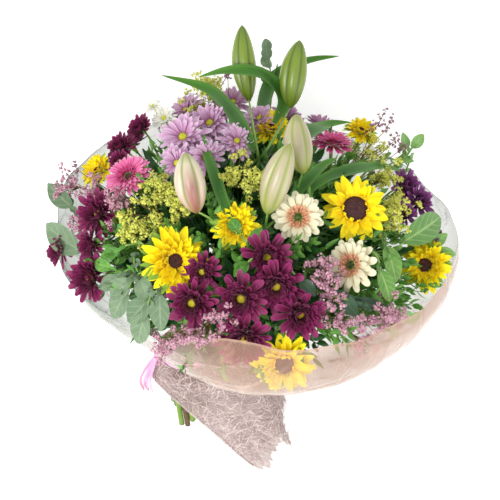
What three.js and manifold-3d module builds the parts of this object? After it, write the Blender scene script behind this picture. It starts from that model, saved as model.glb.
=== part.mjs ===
// A mixed flower bouquet, tied at the waist, wrapped in pink sisal web and clear film, and laid
// down: the rim of the film and the cut stems rest on the surface.
// Millimetres. It is modelled upright, with the stems pointing down -Z, the heads up +Z and the
// front towards -Y, and one group then tips it back on to the surface.
import * as THREE from "three";
import { mergeVertices } from "three/addons/utils/BufferGeometryUtils.js";
import Module from "manifold-3d";

const wasm = await Module();
wasm.setup();

// ---- Driving dimensions ----
const radians = THREE.MathUtils.degToRad;
const layAngle = 35; // between the bouquet's axis and the surface
const heartHeight = 191; // of the centre of the flower dome above the surface
const domeRadius = 215;
const domeHeight = 150;
const waistHeight = -198; // where the stems are tied, below the dome's centre
const footHeight = -305; // where the stems are cut
const stemRadius = 3.45; // from the middle of a six-sided stem to its flats, at the waist
const stemPitch = 7.4; // between the middles of neighbouring stems at the waist
const tipRadius = 2.6;
const twigRadius = 1.6;
const gap = 0.35; // between pieces that touch
const clearance = 2.4; // kept between the stems above the tie
const filmWall = 0.8;
const webWall = 0.8;
const turnSteps = 22; // of every wrap around the waist
const twineRing = { inner: 26.7, outer: 28.0, low: -202, high: -194 };
const tieRing = { inner: 31.0, outer: 33.8, low: -204, high: -192 };

// ---- The view that the places below are read in, a picture of 500 by 500 ----
const millimetresPerPixel = 1.25;
const pictureMiddle = 250;
const eyeDistance = 1700;
const eyeElevation = 42; // above the plane of the film's rim
const eyeRoll = 11;

const towardsEye = new THREE.Vector3(
  0, -Math.cos(radians(eyeElevation)), Math.sin(radians(eyeElevation)));
const pictureRight = new THREE.Vector3(1, 0, 0).applyAxisAngle(towardsEye, radians(eyeRoll));
const pictureUp = new THREE.Vector3().crossVectors(towardsEye, pictureRight);

const layDown = new THREE.Matrix4()
  .makeRotationX(radians(layAngle - 90))
  .setPosition(0, 0, heartHeight);
const standUp = layDown.clone().invert();

// The upright point, lifted so that it lies no lower than `height` once the bouquet is laid.
function atLeast(height, point) {
  const laid = point.clone().applyMatrix4(layDown);
  laid.z = Math.max(laid.z, height);
  return laid.applyMatrix4(standUp);
}

// The eye, and the way from it through a picture point.
const eyePlace = towardsEye.clone().multiplyScalar(eyeDistance);
function rayThrough([across, down]) {
  return pictureRight.clone().multiplyScalar((across - pictureMiddle) * millimetresPerPixel)
    .addScaledVector(pictureUp, (pictureMiddle - down) * millimetresPerPixel)
    .sub(eyePlace)
    .normalize();
}

// The upright point that a picture point shows, `height` above the surface once laid.
function onLevel([across, down, height]) {
  const from = eyePlace.clone().applyMatrix4(layDown);
  const way = rayThrough([across, down]).transformDirection(layDown);
  return from.addScaledVector(way, (height - from.z) / way.z).applyMatrix4(standUp);
}

// The place on the flower dome, or on a larger dome by `lift`, that a picture point shows.
function onDome(at, lift = 0) {
  const ray = rayThrough(at);
  const size = new THREE.Vector3(domeRadius + lift, domeRadius + lift, domeHeight + lift);
  const start = eyePlace.clone().divide(size);
  const step = ray.clone().divide(size);
  const a = step.lengthSq();
  const b = start.dot(step);
  const missed = Math.max(0, b * b - a * (start.lengthSq() - 1));
  return ray.multiplyScalar((-b - Math.sqrt(missed)) / a).add(eyePlace);
}

// The way a flower faces: at the eye, leaning right and up in the picture by `lean`.
function facing([right, above]) {
  return towardsEye.clone()
    .addScaledVector(pictureRight, right)
    .addScaledVector(pictureUp, above)
    .normalize();
}

const outwardLean = 240; // pixels from the middle at which a head leans out by 45 degrees
function leanAt([across, down]) {
  return [(across - pictureMiddle) / outwardLean, (pictureMiddle - down) / outwardLean];
}

// ---- Solids ----
function solid(geometry) {
  geometry.deleteAttribute("normal");
  geometry.deleteAttribute("uv");
  const merged = mergeVertices(geometry, 1e-3);
  return new wasm.Manifold(new wasm.Mesh({
    numProp: 3,
    vertProperties: merged.attributes.position.array,
    triVerts: new Uint32Array(merged.index.array),
  }));
}

function reshape(geometry, place) {
  const position = geometry.attributes.position;
  const point = new THREE.Vector3();
  for (let i = 0; i < position.count; i++) {
    const moved = place(point.fromBufferAttribute(position, i), i);
    position.setXYZ(i, moved.x, moved.y, moved.z);
  }
  return geometry;
}

const joined = (solids) => solids.reduce((whole, next) => whole.add(next));

function largest(whole) {
  const bodies = whole.decompose();
  return bodies.reduce((best, next) => (next.volume() > best.volume() ? next : best));
}

// ---- Paths: lists of points about sampleStep apart ----
const sampleStep = 8;

function pathThrough(points) {
  const curve = new THREE.CatmullRomCurve3(points, false, "centripetal");
  return curve.getSpacedPoints(Math.max(4, Math.round(curve.getLength() / sampleStep)));
}

function alongPath(path, part) {
  const place = THREE.MathUtils.clamp(part, 0, 1) * (path.length - 1);
  const from = Math.min(Math.floor(place), path.length - 2);
  return path[from].clone().lerp(path[from + 1], place - from);
}

// The point, the sideways direction and the upward direction of a path, for a section there.
function sectionAt(path, part, sideHint) {
  const tangent = alongPath(path, part + 0.04).sub(alongPath(path, part - 0.04)).normalize();
  const side = sideHint.clone().addScaledVector(tangent, -sideHint.dot(tangent)).normalize();
  return { middle: alongPath(path, part), side, top: side.clone().cross(tangent) };
}

// A sideways direction that no part of a path runs along: across the plane that it bends in.
function acrossBend(path) {
  const middle = path[Math.floor(path.length / 2)];
  const first = middle.clone().sub(path[0]);
  const second = path.at(-1).clone().sub(middle);
  const across = first.clone().cross(second);
  const isStraight = across.length() < 0.01 * first.length() * second.length();
  return (isStraight ? first.cross(towardsEye) : across).normalize();
}

// A tapering tube: its radius is measured to the corners of its section.
function tube(path, { from, to, sides = 6, steps = 6, grow = 0 }) {
  const sideHint = acrossBend(path);
  return solid(reshape(new THREE.CylinderGeometry(1, 1, 1, sides, steps), (p) => {
    const part = p.y + 0.5;
    const { middle, side, top } = sectionAt(path, part, sideHint);
    const radius = from + (to - from) * part + grow;
    const end = part < 0.001 ? -grow : part > 0.999 ? grow : 0;
    return middle
      .addScaledVector(side, p.x * radius)
      .addScaledVector(top, p.z * radius)
      .addScaledVector(top.clone().cross(side), end);
  }));
}

// A closed spindle such as a bud or a leaf: wide in `side`, thick across it, pointed at its ends.
function spindle(path, { width, thickness, side, sides = 4, steps = 4, fullest = 0.45, grow = 0 }) {
  return solid(reshape(new THREE.SphereGeometry(1, sides, steps), (p) => {
    const part = Math.acos(THREE.MathUtils.clamp(-p.y, -1, 1)) / Math.PI;
    const round = Math.hypot(p.x, p.z) || 1;
    const swell = Math.sin(Math.PI * Math.pow(part, Math.log(0.5) / Math.log(fullest)));
    const section = sectionAt(path, part, side);
    const across = (p.x / round) * (swell * width / 2 + grow);
    const through = (p.z / round) * (swell * thickness / 2 + grow);
    const isEnd = Math.hypot(p.x, p.z) < 1e-6;
    return section.middle
      .addScaledVector(section.side, isEnd ? 0 : across)
      .addScaledVector(section.top, isEnd ? 0 : through);
  }));
}

// A flower head turned round its own axis. The outline is [radius, height] pairs from the bottom
// up, and every second rib is drawn in past the outline's middle to leave separate petals.
function turnedHead(outline, ribs, notch, centre, axis, grow = 0) {
  const widest = Math.max(...outline.map(([radius]) => radius));
  const last = outline.length - 1;
  const points = outline.map(([radius, height], i) => new THREE.Vector2(
    radius && radius + grow, height + (i === 0 ? -grow : i >= last - 1 ? grow : 0)));
  const turn = new THREE.Quaternion().setFromUnitVectors(new THREE.Vector3(0, 1, 0), axis);
  const lathe = new THREE.LatheGeometry(points, ribs);
  return solid(reshape(lathe, (p, i) => {
    const rib = Math.floor(i / points.length) % 2;
    if (rib && Math.hypot(p.x, p.z) > widest * 0.6) {
      p.x *= notch;
      p.z *= notch;
    }
    return p.applyQuaternion(turn).add(centre);
  }));
}

function daisyHead(size, cup, centre, axis, grow) {
  const r = size / 2;
  return turnedHead([
    [0, -0.34 * r], [0.2 * r, -0.34 * r], [r, cup], [0.34 * r, 0.05 * r], [0.26 * r, 0.16 * r],
    [0, 0.2 * r],
  ], 14, 0.84, centre, axis, grow);
}

function pomponHead(size, centre, axis, grow) {
  const r = size / 2;
  return turnedHead([
    [0, -0.5 * r], [0.3 * r, -0.5 * r], [r, 0], [0.7 * r, 0.34 * r], [0, 0.42 * r],
  ], 8, 0.9, centre, axis, grow);
}

function floretClump(size, centre, axis, grow) {
  return solid(new THREE.OctahedronGeometry(size / 2 + grow, 0)
    .translate(centre.x, centre.y, centre.z));
}

// ---- The line that the stems follow, and their places in the tie ----
const spine = [
  new THREE.Vector3(-36, -10, footHeight),
  new THREE.Vector3(-57, -3, -228),
  new THREE.Vector3(-62, 0, waistHeight),
  new THREE.Vector3(-58, 0, -168),
  new THREE.Vector3(-30, 0, -80),
  new THREE.Vector3(0, 0, 0),
  new THREE.Vector3(0, 0, 200),
];

function spineAt(height) {
  const above = Math.max(1, spine.findIndex((p) => p.z >= height));
  const [low, high] = [spine[above - 1], spine[above]];
  return low.clone().lerp(high, (height - low.z) / (high.z - low.z));
}

// Rings of close-packed places, the middle one first.
function packedPlaces(rings) {
  const places = [];
  for (let q = -rings; q <= rings; q++) {
    for (let r = Math.max(-rings, -q - rings); r <= Math.min(rings, rings - q); r++) {
      places.push(new THREE.Vector3(
        stemPitch * (q + r / 2), stemPitch * r * Math.sqrt(3) / 2, 0));
    }
  }
  return places;
}

// Each stem gets the place nearest to the side that its flowers are on, by swapping pairs.
function sharePlaces(wishes) {
  const places = packedPlaces(3);
  const cost = (wish, place) => wish.distanceToSquared(place);
  for (let swapped = true; swapped;) {
    swapped = false;
    for (let i = 0; i < wishes.length; i++) {
      for (let j = i + 1; j < places.length; j++) {
        const now = cost(wishes[i], places[i]) + (j < wishes.length ? cost(wishes[j], places[j]) : 0);
        const then = cost(wishes[i], places[j]) + (j < wishes.length ? cost(wishes[j], places[i]) : 0);
        if (then < now - 1e-6) {
          [places[i], places[j]] = [places[j], places[i]];
          swapped = true;
        }
      }
    }
  }
  return places;
}

// A stem's path from its cut end, through its place in the tie, out to `end`, arriving along
// `axis`. It stays near the middle low down, so that it clears the film.
function stemPath(place, index, end, axis, lead = 26) {
  const cut = spineAt(footHeight + 14 * Math.sin(index * 2.4) + 6).addScaledVector(place, 1.15);
  const points = [atLeast(stemRadius + 0.6, cut)];
  for (const [height, spread] of [[-228, 1.04], [waistHeight, 1], [-170, 1.04]]) {
    points.push(spineAt(height).addScaledVector(place, spread));
  }
  const arrive = end.clone().addScaledVector(axis, -lead);
  const reach = arrive.clone().sub(spineAt(arrive.z));
  for (const part of [0.3, 0.55, 0.8]) {
    points.push(spineAt(-170 + (arrive.z + 170) * part)
      .addScaledVector(place, 1.1 * (1 - part))
      .addScaledVector(reach, Math.pow(part, 1.5)));
  }
  points.push(arrive, end);
  return pathThrough(points);
}

// Pushes the paths of different pieces apart and keeps each one smooth. Both ends of a path and
// its stretch through the tie stay where they are.
function keepApart(runs) {
  const held = (run, i) =>
    i === 0 || i === run.path.length - 1 || Math.abs(run.path[i].z - waistHeight) < 24;
  const samples = runs.flatMap((run) => run.path.map((point, i) => (
    { point, owner: run.owner, radius: run.radius, fixed: held(run, i) })));
  const push = new THREE.Vector3();
  for (let round = 0; round < 40; round++) {
    for (let i = 0; i < samples.length; i++) {
      const one = samples[i];
      for (let j = i + 1; j < samples.length; j++) {
        const other = samples[j];
        const need = one.radius + other.radius + clearance;
        if (Math.abs(one.point.z - other.point.z) > need) continue;
        if (Math.abs(one.point.x - other.point.x) > need) continue;
        const distance = one.point.distanceTo(other.point);
        if (distance > need || one.owner === other.owner || distance < 1e-6) continue;
        push.subVectors(one.point, other.point).setLength((need - distance) / 2);
        if (!one.fixed) one.point.add(push);
        if (!other.fixed) other.point.sub(push);
      }
    }
    if (round > 36) continue;
    for (const run of runs) {
      for (let i = 1; i < run.path.length - 1; i++) {
        if (held(run, i)) continue;
        const middle = run.path[i - 1].clone().add(run.path[i + 1]).multiplyScalar(0.5);
        run.path[i].lerp(middle, 0.25);
      }
    }
  }
}

// ---- What grows, with the picture places read by hand ----
const yellow = "#f2c80f";
const sunflowers = [
  { at: [355, 209], size: 80, lean: [0.05, 0.1] },
  { at: [425, 265], size: 64, lean: [0.55, 0.1], cup: 10 },
  { at: [175, 261], size: 78, lean: [0.15, -0.2], cup: 8 },
  { at: [235, 225], size: 56, lean: [0, 0.15], lift: -8 },
  { at: [271, 127], size: 52, lean: [0.3, 1.1], lift: -8 },
  { at: [97, 170], size: 46, lean: [-0.9, 0.6] },
  { at: [284, 366], size: 80, lean: [0.1, -0.35], lift: -16 },
  { at: [361, 130], size: 44, lean: [0.4, 1.2] },
];
const gerberas = [
  { at: [128, 176], size: 64, lean: [-0.35, 0.5], petal: "#f08cb8" },
  { at: [332, 143], size: 58, lean: [0.25, 2.2], petal: "#c8307c" },
  { at: [298, 217], size: 64, lean: [0, 0.1], petal: "#f0efcf" },
  { at: [351, 265], size: 68, lean: [-0.7, 0.05], petal: "#f0efcf" },
];

const purple = "#7a1b5e";
const lilac = "#d3a8d8";
const pomponSprays = [
  { name: "burgundy_chrysanthemum_centre", colour: purple,
    heads: [[267, 257, 52], [276, 286, 58], [241, 299, 56]] },
  { name: "burgundy_chrysanthemum_front", colour: purple,
    heads: [[192, 303, 54], [202, 272, 42], [244, 339, 60], [300, 314, 57]] },
  { name: "burgundy_chrysanthemum_left", colour: purple,
    heads: [[98, 214, 54], [61, 250, 42], [90, 278, 56], [91, 245, 40]] },
  { name: "burgundy_chrysanthemum_back", colour: purple,
    heads: [[121, 147, 38], [141, 129, 38], [119, 161, 28]],
    hidden: [[-140, 62, 46], [-122, 40, 46]] },
  { name: "burgundy_chrysanthemum_right", colour: purple,
    heads: [[405, 186, 42], [419, 202, 40], [405, 213, 30], [432, 235, 30]],
    hidden: [[122, 48, 48]] },
  { name: "lilac_chrysanthemum_left", colour: lilac,
    heads: [[183, 137, 60], [177, 163, 44], [186, 110, 44], [206, 158, 42]],
    hidden: [[-158, 84, 48]] },
  { name: "lilac_chrysanthemum_back", colour: lilac,
    heads: [[210, 123, 54], [237, 141, 44], [233, 102, 44], [259, 118, 36]],
    hidden: [[176, 70, 50], [160, 92, 46]] },
  { name: "white_chrysanthemum", colour: "#f4f2e6",
    heads: [[164, 118, 32], [153, 106, 20]],
    hidden: [[-170, 40, 44], [148, 58, 42]] },
];
const statice = { yellow: "#d9d24a", pink: "#d98fc0" };
const clumpSprays = [
  { name: "yellow_statice_left", colour: statice.yellow,
    heads: [[148, 212, 26], [159, 190, 18], [180, 204, 16], [135, 230, 16]] },
  { name: "yellow_statice_right", colour: statice.yellow,
    heads: [[391, 222, 18], [390, 206, 18], [382, 179, 18]] },
  { name: "yellow_statice_centre", colour: statice.yellow,
    heads: [[233, 174, 18], [255, 179, 18], [212, 90, 24]],
    hidden: [[138, 78, 24], [-145, 92, 22]] },
  { name: "pink_statice_front", colour: statice.pink,
    heads: [[165, 345, 20], [185, 336, 20], [205, 328, 20], [222, 318, 18]] },
  { name: "pink_statice_centre", colour: statice.pink,
    heads: [[322, 264, 16], [326, 280, 18], [333, 299, 18], [339, 324, 18]] },
  { name: "pink_statice_right", colour: statice.pink,
    heads: [[366, 322, 20], [383, 308, 18], [390, 318, 16], [362, 342, 18]] },
  { name: "pink_statice_left", colour: statice.pink,
    heads: [[95, 190, 18], [118, 203, 18], [80, 228, 16], [68, 184, 18]] },
];

// A leaf is [base, tip, width]: two picture places and a real width.
const glaucous = "#a9c7b4";
const darkGreen = "#2e6b2e";
const leafSprays = [
  { name: "eucalyptus_left", colour: glaucous,
    leaves: [[[72, 205], [52, 186], 20], [[104, 292], [80, 300], 24], [[128, 290], [112, 318], 26],
      [[136, 312], [148, 334], 24]] },
  { name: "eucalyptus_back", colour: glaucous,
    leaves: [[[405, 150], [404, 132], 15], [[412, 148], [424, 134], 15], [[396, 160], [414, 160], 14]] },
  { name: "eucalyptus_right", colour: glaucous,
    leaves: [[[432, 244], [448, 234], 15], [[436, 252], [456, 254], 15]] },
  { name: "eucalyptus_front", colour: glaucous,
    leaves: [[[400, 312], [414, 322], 15], [[390, 326], [398, 340], 14], [[404, 320], [424, 314], 14]] },
  { name: "salal_right", colour: darkGreen,
    leaves: [[[403, 242], [447, 214], 34], [[386, 246], [398, 282], 24], [[380, 270], [392, 302], 22]] },
  { name: "box_leaves_centre", colour: "#4e8a3a",
    leaves: [[[240, 234], [228, 216], 14], [[250, 244], [262, 228], 14], [[248, 262], [234, 276], 14]] },
  { name: "dark_blades_front", colour: darkGreen,
    leaves: [[[350, 300], [392, 310], 16], [[336, 290], [360, 318], 18], [[300, 280], [316, 296], 16]] },
  { name: "box_leaves_left", colour: "#6e9a4a",
    leaves: [[[120, 250], [98, 260], 16], [[112, 268], [92, 262], 16], [[132, 236], [116, 224], 16]] },
];

const budGreen = "#8fa83a";
const budCream = "#e9e4d0";
const lilies = [
  { name: "lily_stem_back", fork: [259, 160], leafWidth: 14,
    buds: [
      { base: [249, 101], tip: [242, 28], by: [[255, 138]], width: 32, forward: 18, colour: budGreen },
      { base: [290, 108], tip: [299, 43], by: [[272, 142]], width: 36, forward: 18, colour: budGreen },
    ],
    leaves: [
      [[252, 146], [240, 124], [225, 104], [205, 88], [161, 75]],
      [[284, 100], [268, 78], [250, 71], [225, 71], [198, 77]],
      [[262, 112], [270, 84], [284, 70], [312, 60], [340, 56]],
      [[293, 147], [310, 132], [330, 124], [350, 122]],
    ] },
  { name: "lily_stem_centre", fork: [258, 236], leafWidth: 17,
    buds: [
      { base: [270, 215], tip: [292, 146], by: [[265, 226]], width: 44, forward: 34, colour: budCream },
      { base: [303, 174], tip: [294, 119], by: [[290, 205]], width: 38, forward: 14, colour: budCream },
      { base: [197, 213], tip: [187, 160], by: [[226, 226]], width: 38, forward: 20, colour: budCream },
    ],
    leaves: [
      [[228, 212], [216, 180], [206, 150], [204, 134]],
      [[306, 182], [322, 166], [337, 158]],
      [[322, 180], [350, 170], [380, 166], [402, 171]],
    ] },
];
const budLift = 16; // the buds stand over the dome of open flowers

// ---- Every run of stem and twig, before any is thickened ----
const pieces = [];

function addPiece(name, colour, fork, axis, branches, tips) {
  pieces.push({ name, colour, fork, axis, branches, tips });
}

function singleFlower(kind, index, spec, colour, cup) {
  const centre = onDome(spec.at, spec.lift);
  const axis = facing(spec.lean);
  const base = centre.clone().addScaledVector(axis, -0.34 * spec.size / 2 - gap);
  const name = `${kind}_${index + 1}`;
  addPiece(`${name}_stem`, "#8caa3a", base, axis, [], []);
  return { name: `${name}_head`, colour, build: (grow) => daisyHead(spec.size, cup, centre, axis, grow) };
}

const heads = [
  ...sunflowers.map((s, i) => singleFlower("sunflower", i, s, yellow, s.cup ?? 3)),
  ...gerberas.map((s, i) => singleFlower("gerbera", i, s, s.petal, 4)),
];

const forkDepth = 0.66; // how far out a spray divides, from the middle of the bouquet
const forkFoot = new THREE.Vector3(-12, 0, -40);

function forkUnder(places) {
  const mean = places.reduce((sum, p) => sum.add(p), new THREE.Vector3()).divideScalar(places.length);
  const axis = mean.clone().sub(forkFoot).normalize();
  return { fork: forkFoot.clone().lerp(mean, forkDepth), axis };
}

function branchTo(fork, end, endAxis) {
  const reach = fork.distanceTo(end);
  return pathThrough([fork, end.clone().addScaledVector(endAxis, -reach * 0.3), end]);
}

// A place on the hidden side of the dome: the angle starts at the front and grows to the right.
function behind([turn, height, size]) {
  const angle = radians(turn);
  const radius = domeRadius * Math.sqrt(1 - (height / domeHeight) ** 2);
  const centre = new THREE.Vector3(Math.sin(angle) * radius, -Math.cos(angle) * radius, height);
  const axis = centre.clone()
    .divide(new THREE.Vector3(domeRadius ** 2, domeRadius ** 2, domeHeight ** 2))
    .normalize();
  return { size, centre, axis };
}

function headedSpray(spec, makeHead, sink) {
  const placed = spec.heads.map(([across, down, size]) => (
    { size, centre: onDome([across, down]), axis: facing(leanAt([across, down])) }));
  placed.push(...(spec.hidden ?? []).map(behind));
  const { fork, axis } = forkUnder(placed.map((h) => h.centre));
  addPiece(spec.name, spec.colour, fork, axis,
    placed.map((h) => branchTo(fork, h.centre.clone().addScaledVector(h.axis, -sink * h.size), h.axis)),
    placed.map((h) => (grow) => makeHead(h.size, h.centre, h.axis, grow)));
}

pomponSprays.forEach((spec) => headedSpray(spec, pomponHead, 0.1));
clumpSprays.forEach((spec) => headedSpray(spec, floretClump, 0));

function leafBlade(path, width, grow) {
  const along = path.at(-1).clone().sub(path[0]).normalize();
  const side = along.cross(towardsEye).normalize();
  return spindle(path, { width, thickness: 2.4, side, grow });
}

leafSprays.forEach((spec) => {
  const blades = spec.leaves.map(([base, tip, width]) => (
    { width, path: pathThrough([onDome(base, -4), onDome(tip, 2)]) }));
  const { fork, axis } = forkUnder(blades.map((b) => b.path[0].clone()));
  const towards = blades.map((b) => alongPath(b.path, 0.3));
  addPiece(spec.name, spec.colour, fork, axis,
    towards.map((end, i) => branchTo(fork, end, end.clone().sub(blades[i].path[0]).normalize())),
    blades.map((b) => (grow) => leafBlade(b.path, b.width, grow)));
});

const buds = [];
lilies.forEach((spec) => {
  const fork = onDome(spec.fork, -24);
  const axis = fork.clone().sub(forkFoot).normalize();
  const pedicels = spec.buds.map((bud, i) => {
    const base = onDome(bud.base, budLift);
    const shift = [bud.tip[0] - bud.base[0], bud.base[1] - bud.tip[1]];
    const tip = base.clone()
      .addScaledVector(pictureRight, shift[0] * millimetresPerPixel)
      .addScaledVector(pictureUp, shift[1] * millimetresPerPixel)
      .addScaledVector(towardsEye, bud.forward);
    const path = pathThrough([base, tip]);
    buds.push({
      name: `${spec.name.replace("stem", "bud")}_${i + 1}`,
      colour: bud.colour,
      build: (grow) => spindle(path, {
        width: bud.width, thickness: bud.width, side: pictureRight, sides: 6, steps: 6, fullest: 0.55, grow,
      }),
    });
    const heel = base.clone().lerp(tip, -gap / base.distanceTo(tip));
    return pathThrough([fork, ...bud.by.map((at) => onDome(at, 4)), heel]);
  });
  const blades = spec.leaves.map((points) => pathThrough(points.map((at, i) => onDome(at, 2 + 3 * i))));
  const stalks = blades.map((path) => (
    pathThrough([fork, fork.clone().lerp(path[0], 0.6), alongPath(path, 0.12)])));
  addPiece(spec.name, darkGreen, fork, axis, [...pedicels, ...stalks],
    blades.map((path) => (grow) => leafBlade(path, spec.leafWidth, grow)));
});

// ---- Stems in the tie, and all runs kept apart ----
const wishes = pieces.map((piece) => {
  const out = piece.fork.clone().sub(forkFoot).setZ(0);
  return out.multiplyScalar(3 * stemPitch / domeRadius);
});
const places = sharePlaces(wishes);
pieces.forEach((piece, i) => {
  piece.stem = stemPath(places[i], i, piece.fork, piece.axis);
});
keepApart(pieces.flatMap((piece) => [
  { path: piece.stem, owner: piece, radius: stemRadius },
  ...piece.branches.map((path) => ({ path, owner: piece, radius: twigRadius })),
]));

const cornerScale = 1 / Math.cos(Math.PI / 6); // from across the flats to across the corners

function stemsOf(piece, grow) {
  const endRadius = piece.branches.length ? twigRadius * 1.5 : tipRadius;
  const stem = tube(piece.stem, {
    from: stemRadius * cornerScale, to: endRadius * cornerScale, steps: 7, grow });
  const twigs = piece.branches.map((path) => tube(path, {
    from: twigRadius * 1.2, to: twigRadius, sides: 3, steps: 2, grow }));
  return joined([stem, ...twigs, ...piece.tips.map((tip) => tip(grow))]);
}

// ---- The wraps ----
const filmOutline = [
  [30.6, -207], [30.6, -190], [72, -150], [142, -103], [206, -58], [246, -12], [259, 24], [253, 44]];
const rimRise = 30; // the rim stands higher at the front right
const rimTurn = radians(45);
const frontDraw = { share: 0.22, turn: -28, width: 36 }; // the film lies closer in at the front left
const rightDraw = { share: 0.06, turn: 50, width: 30 };

function drawnTo(waist, radius, angle) {
  const kept = [frontDraw, rightDraw].reduce((left, { share, turn, width }) => {
    const away = (angle - radians(turn)) / radians(width);
    return left - share * Math.exp(-away * away);
  }, 1);
  return waist + (radius - waist) * kept;
}

// Around the spine: the angle starts at the front and grows to the right.
function aroundSpine(angle, radius, height) {
  return spineAt(height).add(
    new THREE.Vector3(Math.sin(angle) * radius, -Math.cos(angle) * radius, 0));
}

// A closed wall from the points on its two sides, place(part round, row, isInner). Both sides are
// divided along the same diagonals, so that they stay a wall apart.
function wall({ columns, rows, isRound }, place) {
  const across = isRound ? columns : columns + 1;
  const points = [];
  for (const isInner of [false, true]) {
    for (let row = 0; row < rows; row++) {
      for (let column = 0; column < across; column++) {
        points.push(place(column / columns, row, isInner));
      }
    }
  }
  const side = rows * across;
  const at = (column, row) => row * across + column % across;
  const faces = [];
  const quad = (a, b, c, d) => faces.push(a, b, c, a, c, d);
  for (let column = 0; column < columns; column++) {
    for (let row = 0; row < rows - 1; row++) {
      const [a, b] = [at(column, row), at(column + 1, row)];
      const [d, c] = [at(column, row + 1), at(column + 1, row + 1)];
      quad(a, b, c, d);
      faces.push(side + a, side + c, side + b, side + a, side + d, side + c);
      if (column === 0 && !isRound) quad(a, d, side + d, side + a);
      if (column === columns - 1 && !isRound) quad(b, side + b, side + c, c);
    }
    const [low, lowNext] = [at(column, 0), at(column + 1, 0)];
    const [top, topNext] = [at(column, rows - 1), at(column + 1, rows - 1)];
    quad(low, side + low, side + lowNext, lowNext);
    quad(top, topNext, side + topNext, side + top);
  }
  return solid(new THREE.BufferGeometry().setFromPoints(points).setIndex(faces));
}

function filmWrap(grow) {
  const top = filmOutline.length - 1;
  return wall({ columns: turnSteps, rows: filmOutline.length, isRound: true }, (part, row, isInner) => {
    const angle = (part - 0.5) * 2 * Math.PI;
    const [radius, level] = filmOutline[row];
    const flare = drawnTo(filmOutline[0][0], radius, angle);
    const rim = THREE.MathUtils.smoothstep(level, -30, 44);
    const ripple = rim * (rimRise * Math.cos(angle - rimTurn) + 3 * Math.sin(5 * angle));
    const height = level + ripple + (row === 0 ? -grow : row === top ? grow : 0);
    const inset = isInner ? filmWall + grow : -grow;
    return atLeast(inset, aroundSpine(angle, flare - inset, height));
  });
}

// The web is open at the back left. Its collar stands inside the film, and its skirt hangs out to
// the lower right: a front layer with a notched end, and a lower fold at its right.
const webFrom = radians(-84);
const webTo = radians(108);
const webRings = [[29.6, -207], [29.6, -190], [62, -150], [106, -116]];
const skirtRows = 6;
// Picture places and heights above the surface that the skirt passes near the tie, halfway and at
// its end, from its left edge to its right one.
const skirtColumns = [
  [[151, 374, 70], [200, 420, 68], [260, 471, 30]],
  [[158, 379, 84], [206, 415, 78], [266, 468, 40]],
  [[168, 382, 93], [214, 410, 82], [269, 463, 44]],
  [[177, 385, 101], [222, 406, 86], [272, 459, 48]],
  [[186, 386, 102], [231, 401, 86], [274, 452, 49]],
  [[196, 386, 103], [240, 396, 85], [277, 446, 50]],
  [[204, 384, 101], [248, 391, 82], [281, 440, 49]],
  [[212, 381, 96], [255, 387, 74], [288, 444, 44]],
  [[217, 375, 85], [260, 381, 57], [289, 438, 29]],
  [[218, 369, 76], [261, 376, 48], [286, 431, 20]],
  [[217, 364, 70], [262, 372, 43], [284, 423, 15]],
  [[215, 359, 66], [262, 367, 40], [283, 409, 12]],
  [[212, 354, 63], [260, 362, 38], [284, 396, 12]],
];

function sisalWrap(grow) {
  const [waist, hemLevel] = webRings[0];
  const columns = skirtColumns.length - 1;
  const top = skirtRows + webRings.length - 1;
  const spare = grow / tieRing.inner;
  const skirts = skirtColumns.map((places, column) => {
    const angle = webFrom + (column / columns) * (webTo - webFrom);
    const hem = aroundSpine(angle, waist, hemLevel);
    return new THREE.CatmullRomCurve3([hem, ...places.map(onLevel)]);
  });
  return wall({ columns, rows: top + 1, isRound: false }, (part, row, isInner) => {
    const inset = isInner ? webWall + grow : -grow;
    if (row < skirtRows) {
      const side = pictureRight.clone().multiplyScalar((2 * part - 1) * grow);
      return skirts[Math.round(part * columns)].getPoint(1 - row / skirtRows)
        .add(side)
        .addScaledVector(towardsEye, -inset);
    }
    const angle = webFrom + part * (webTo - webFrom) + (2 * part - 1) * spare;
    const [radius, level] = webRings[row - skirtRows];
    const rise = row === top ? grow : 0;
    return atLeast(inset, aroundSpine(angle, drawnTo(waist, radius, angle) + rise - inset, level + rise));
  });
}

function ring({ inner, outer, low, high }, grow) {
  const corners = [
    [outer + grow, low - grow], [outer + grow, high + grow], [inner - grow, high + grow],
    [inner - grow, low - grow], [outer + grow, low - grow]];
  const lathe = new THREE.LatheGeometry(corners.map(([r, z]) => new THREE.Vector2(r, z)), turnSteps);
  return solid(reshape(lathe, (p) => aroundSpine(Math.atan2(p.x, p.z), Math.hypot(p.x, p.z), p.y)));
}

// The raffia goes once round the film. Its knot sits at the front left, with two tails and a loop.
const knotAngle = radians(-56);
const tails = [
  [[-108, -30, -222], [-112, -30, -245], [-106, -26, -266]],
  [[-98, -38, -224], [-96, -36, -246], [-92, -32, -262]],
];
function raffiaTie(grow) {
  const knot = aroundSpine(knotAngle, 41, waistHeight);
  const knotBall = solid(new THREE.IcosahedronGeometry(9 + grow, 1).translate(knot.x, knot.y, knot.z));
  const strands = tails.map((points) => tube(
    pathThrough([knot, ...points.map((p) => new THREE.Vector3(...p))]), { from: 2.6, to: 2.2, grow }));
  return joined([ring(tieRing, grow), knotBall, ...strands]);
}

// ---- Assembly: each piece is cut clear of those before it ----
const bouquet = new THREE.Group();
const taken = [];

function boxesMeet(a, b) {
  return [0, 1, 2].every((k) => a.min[k] <= b.max[k] && b.min[k] <= a.max[k]);
}

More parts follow.
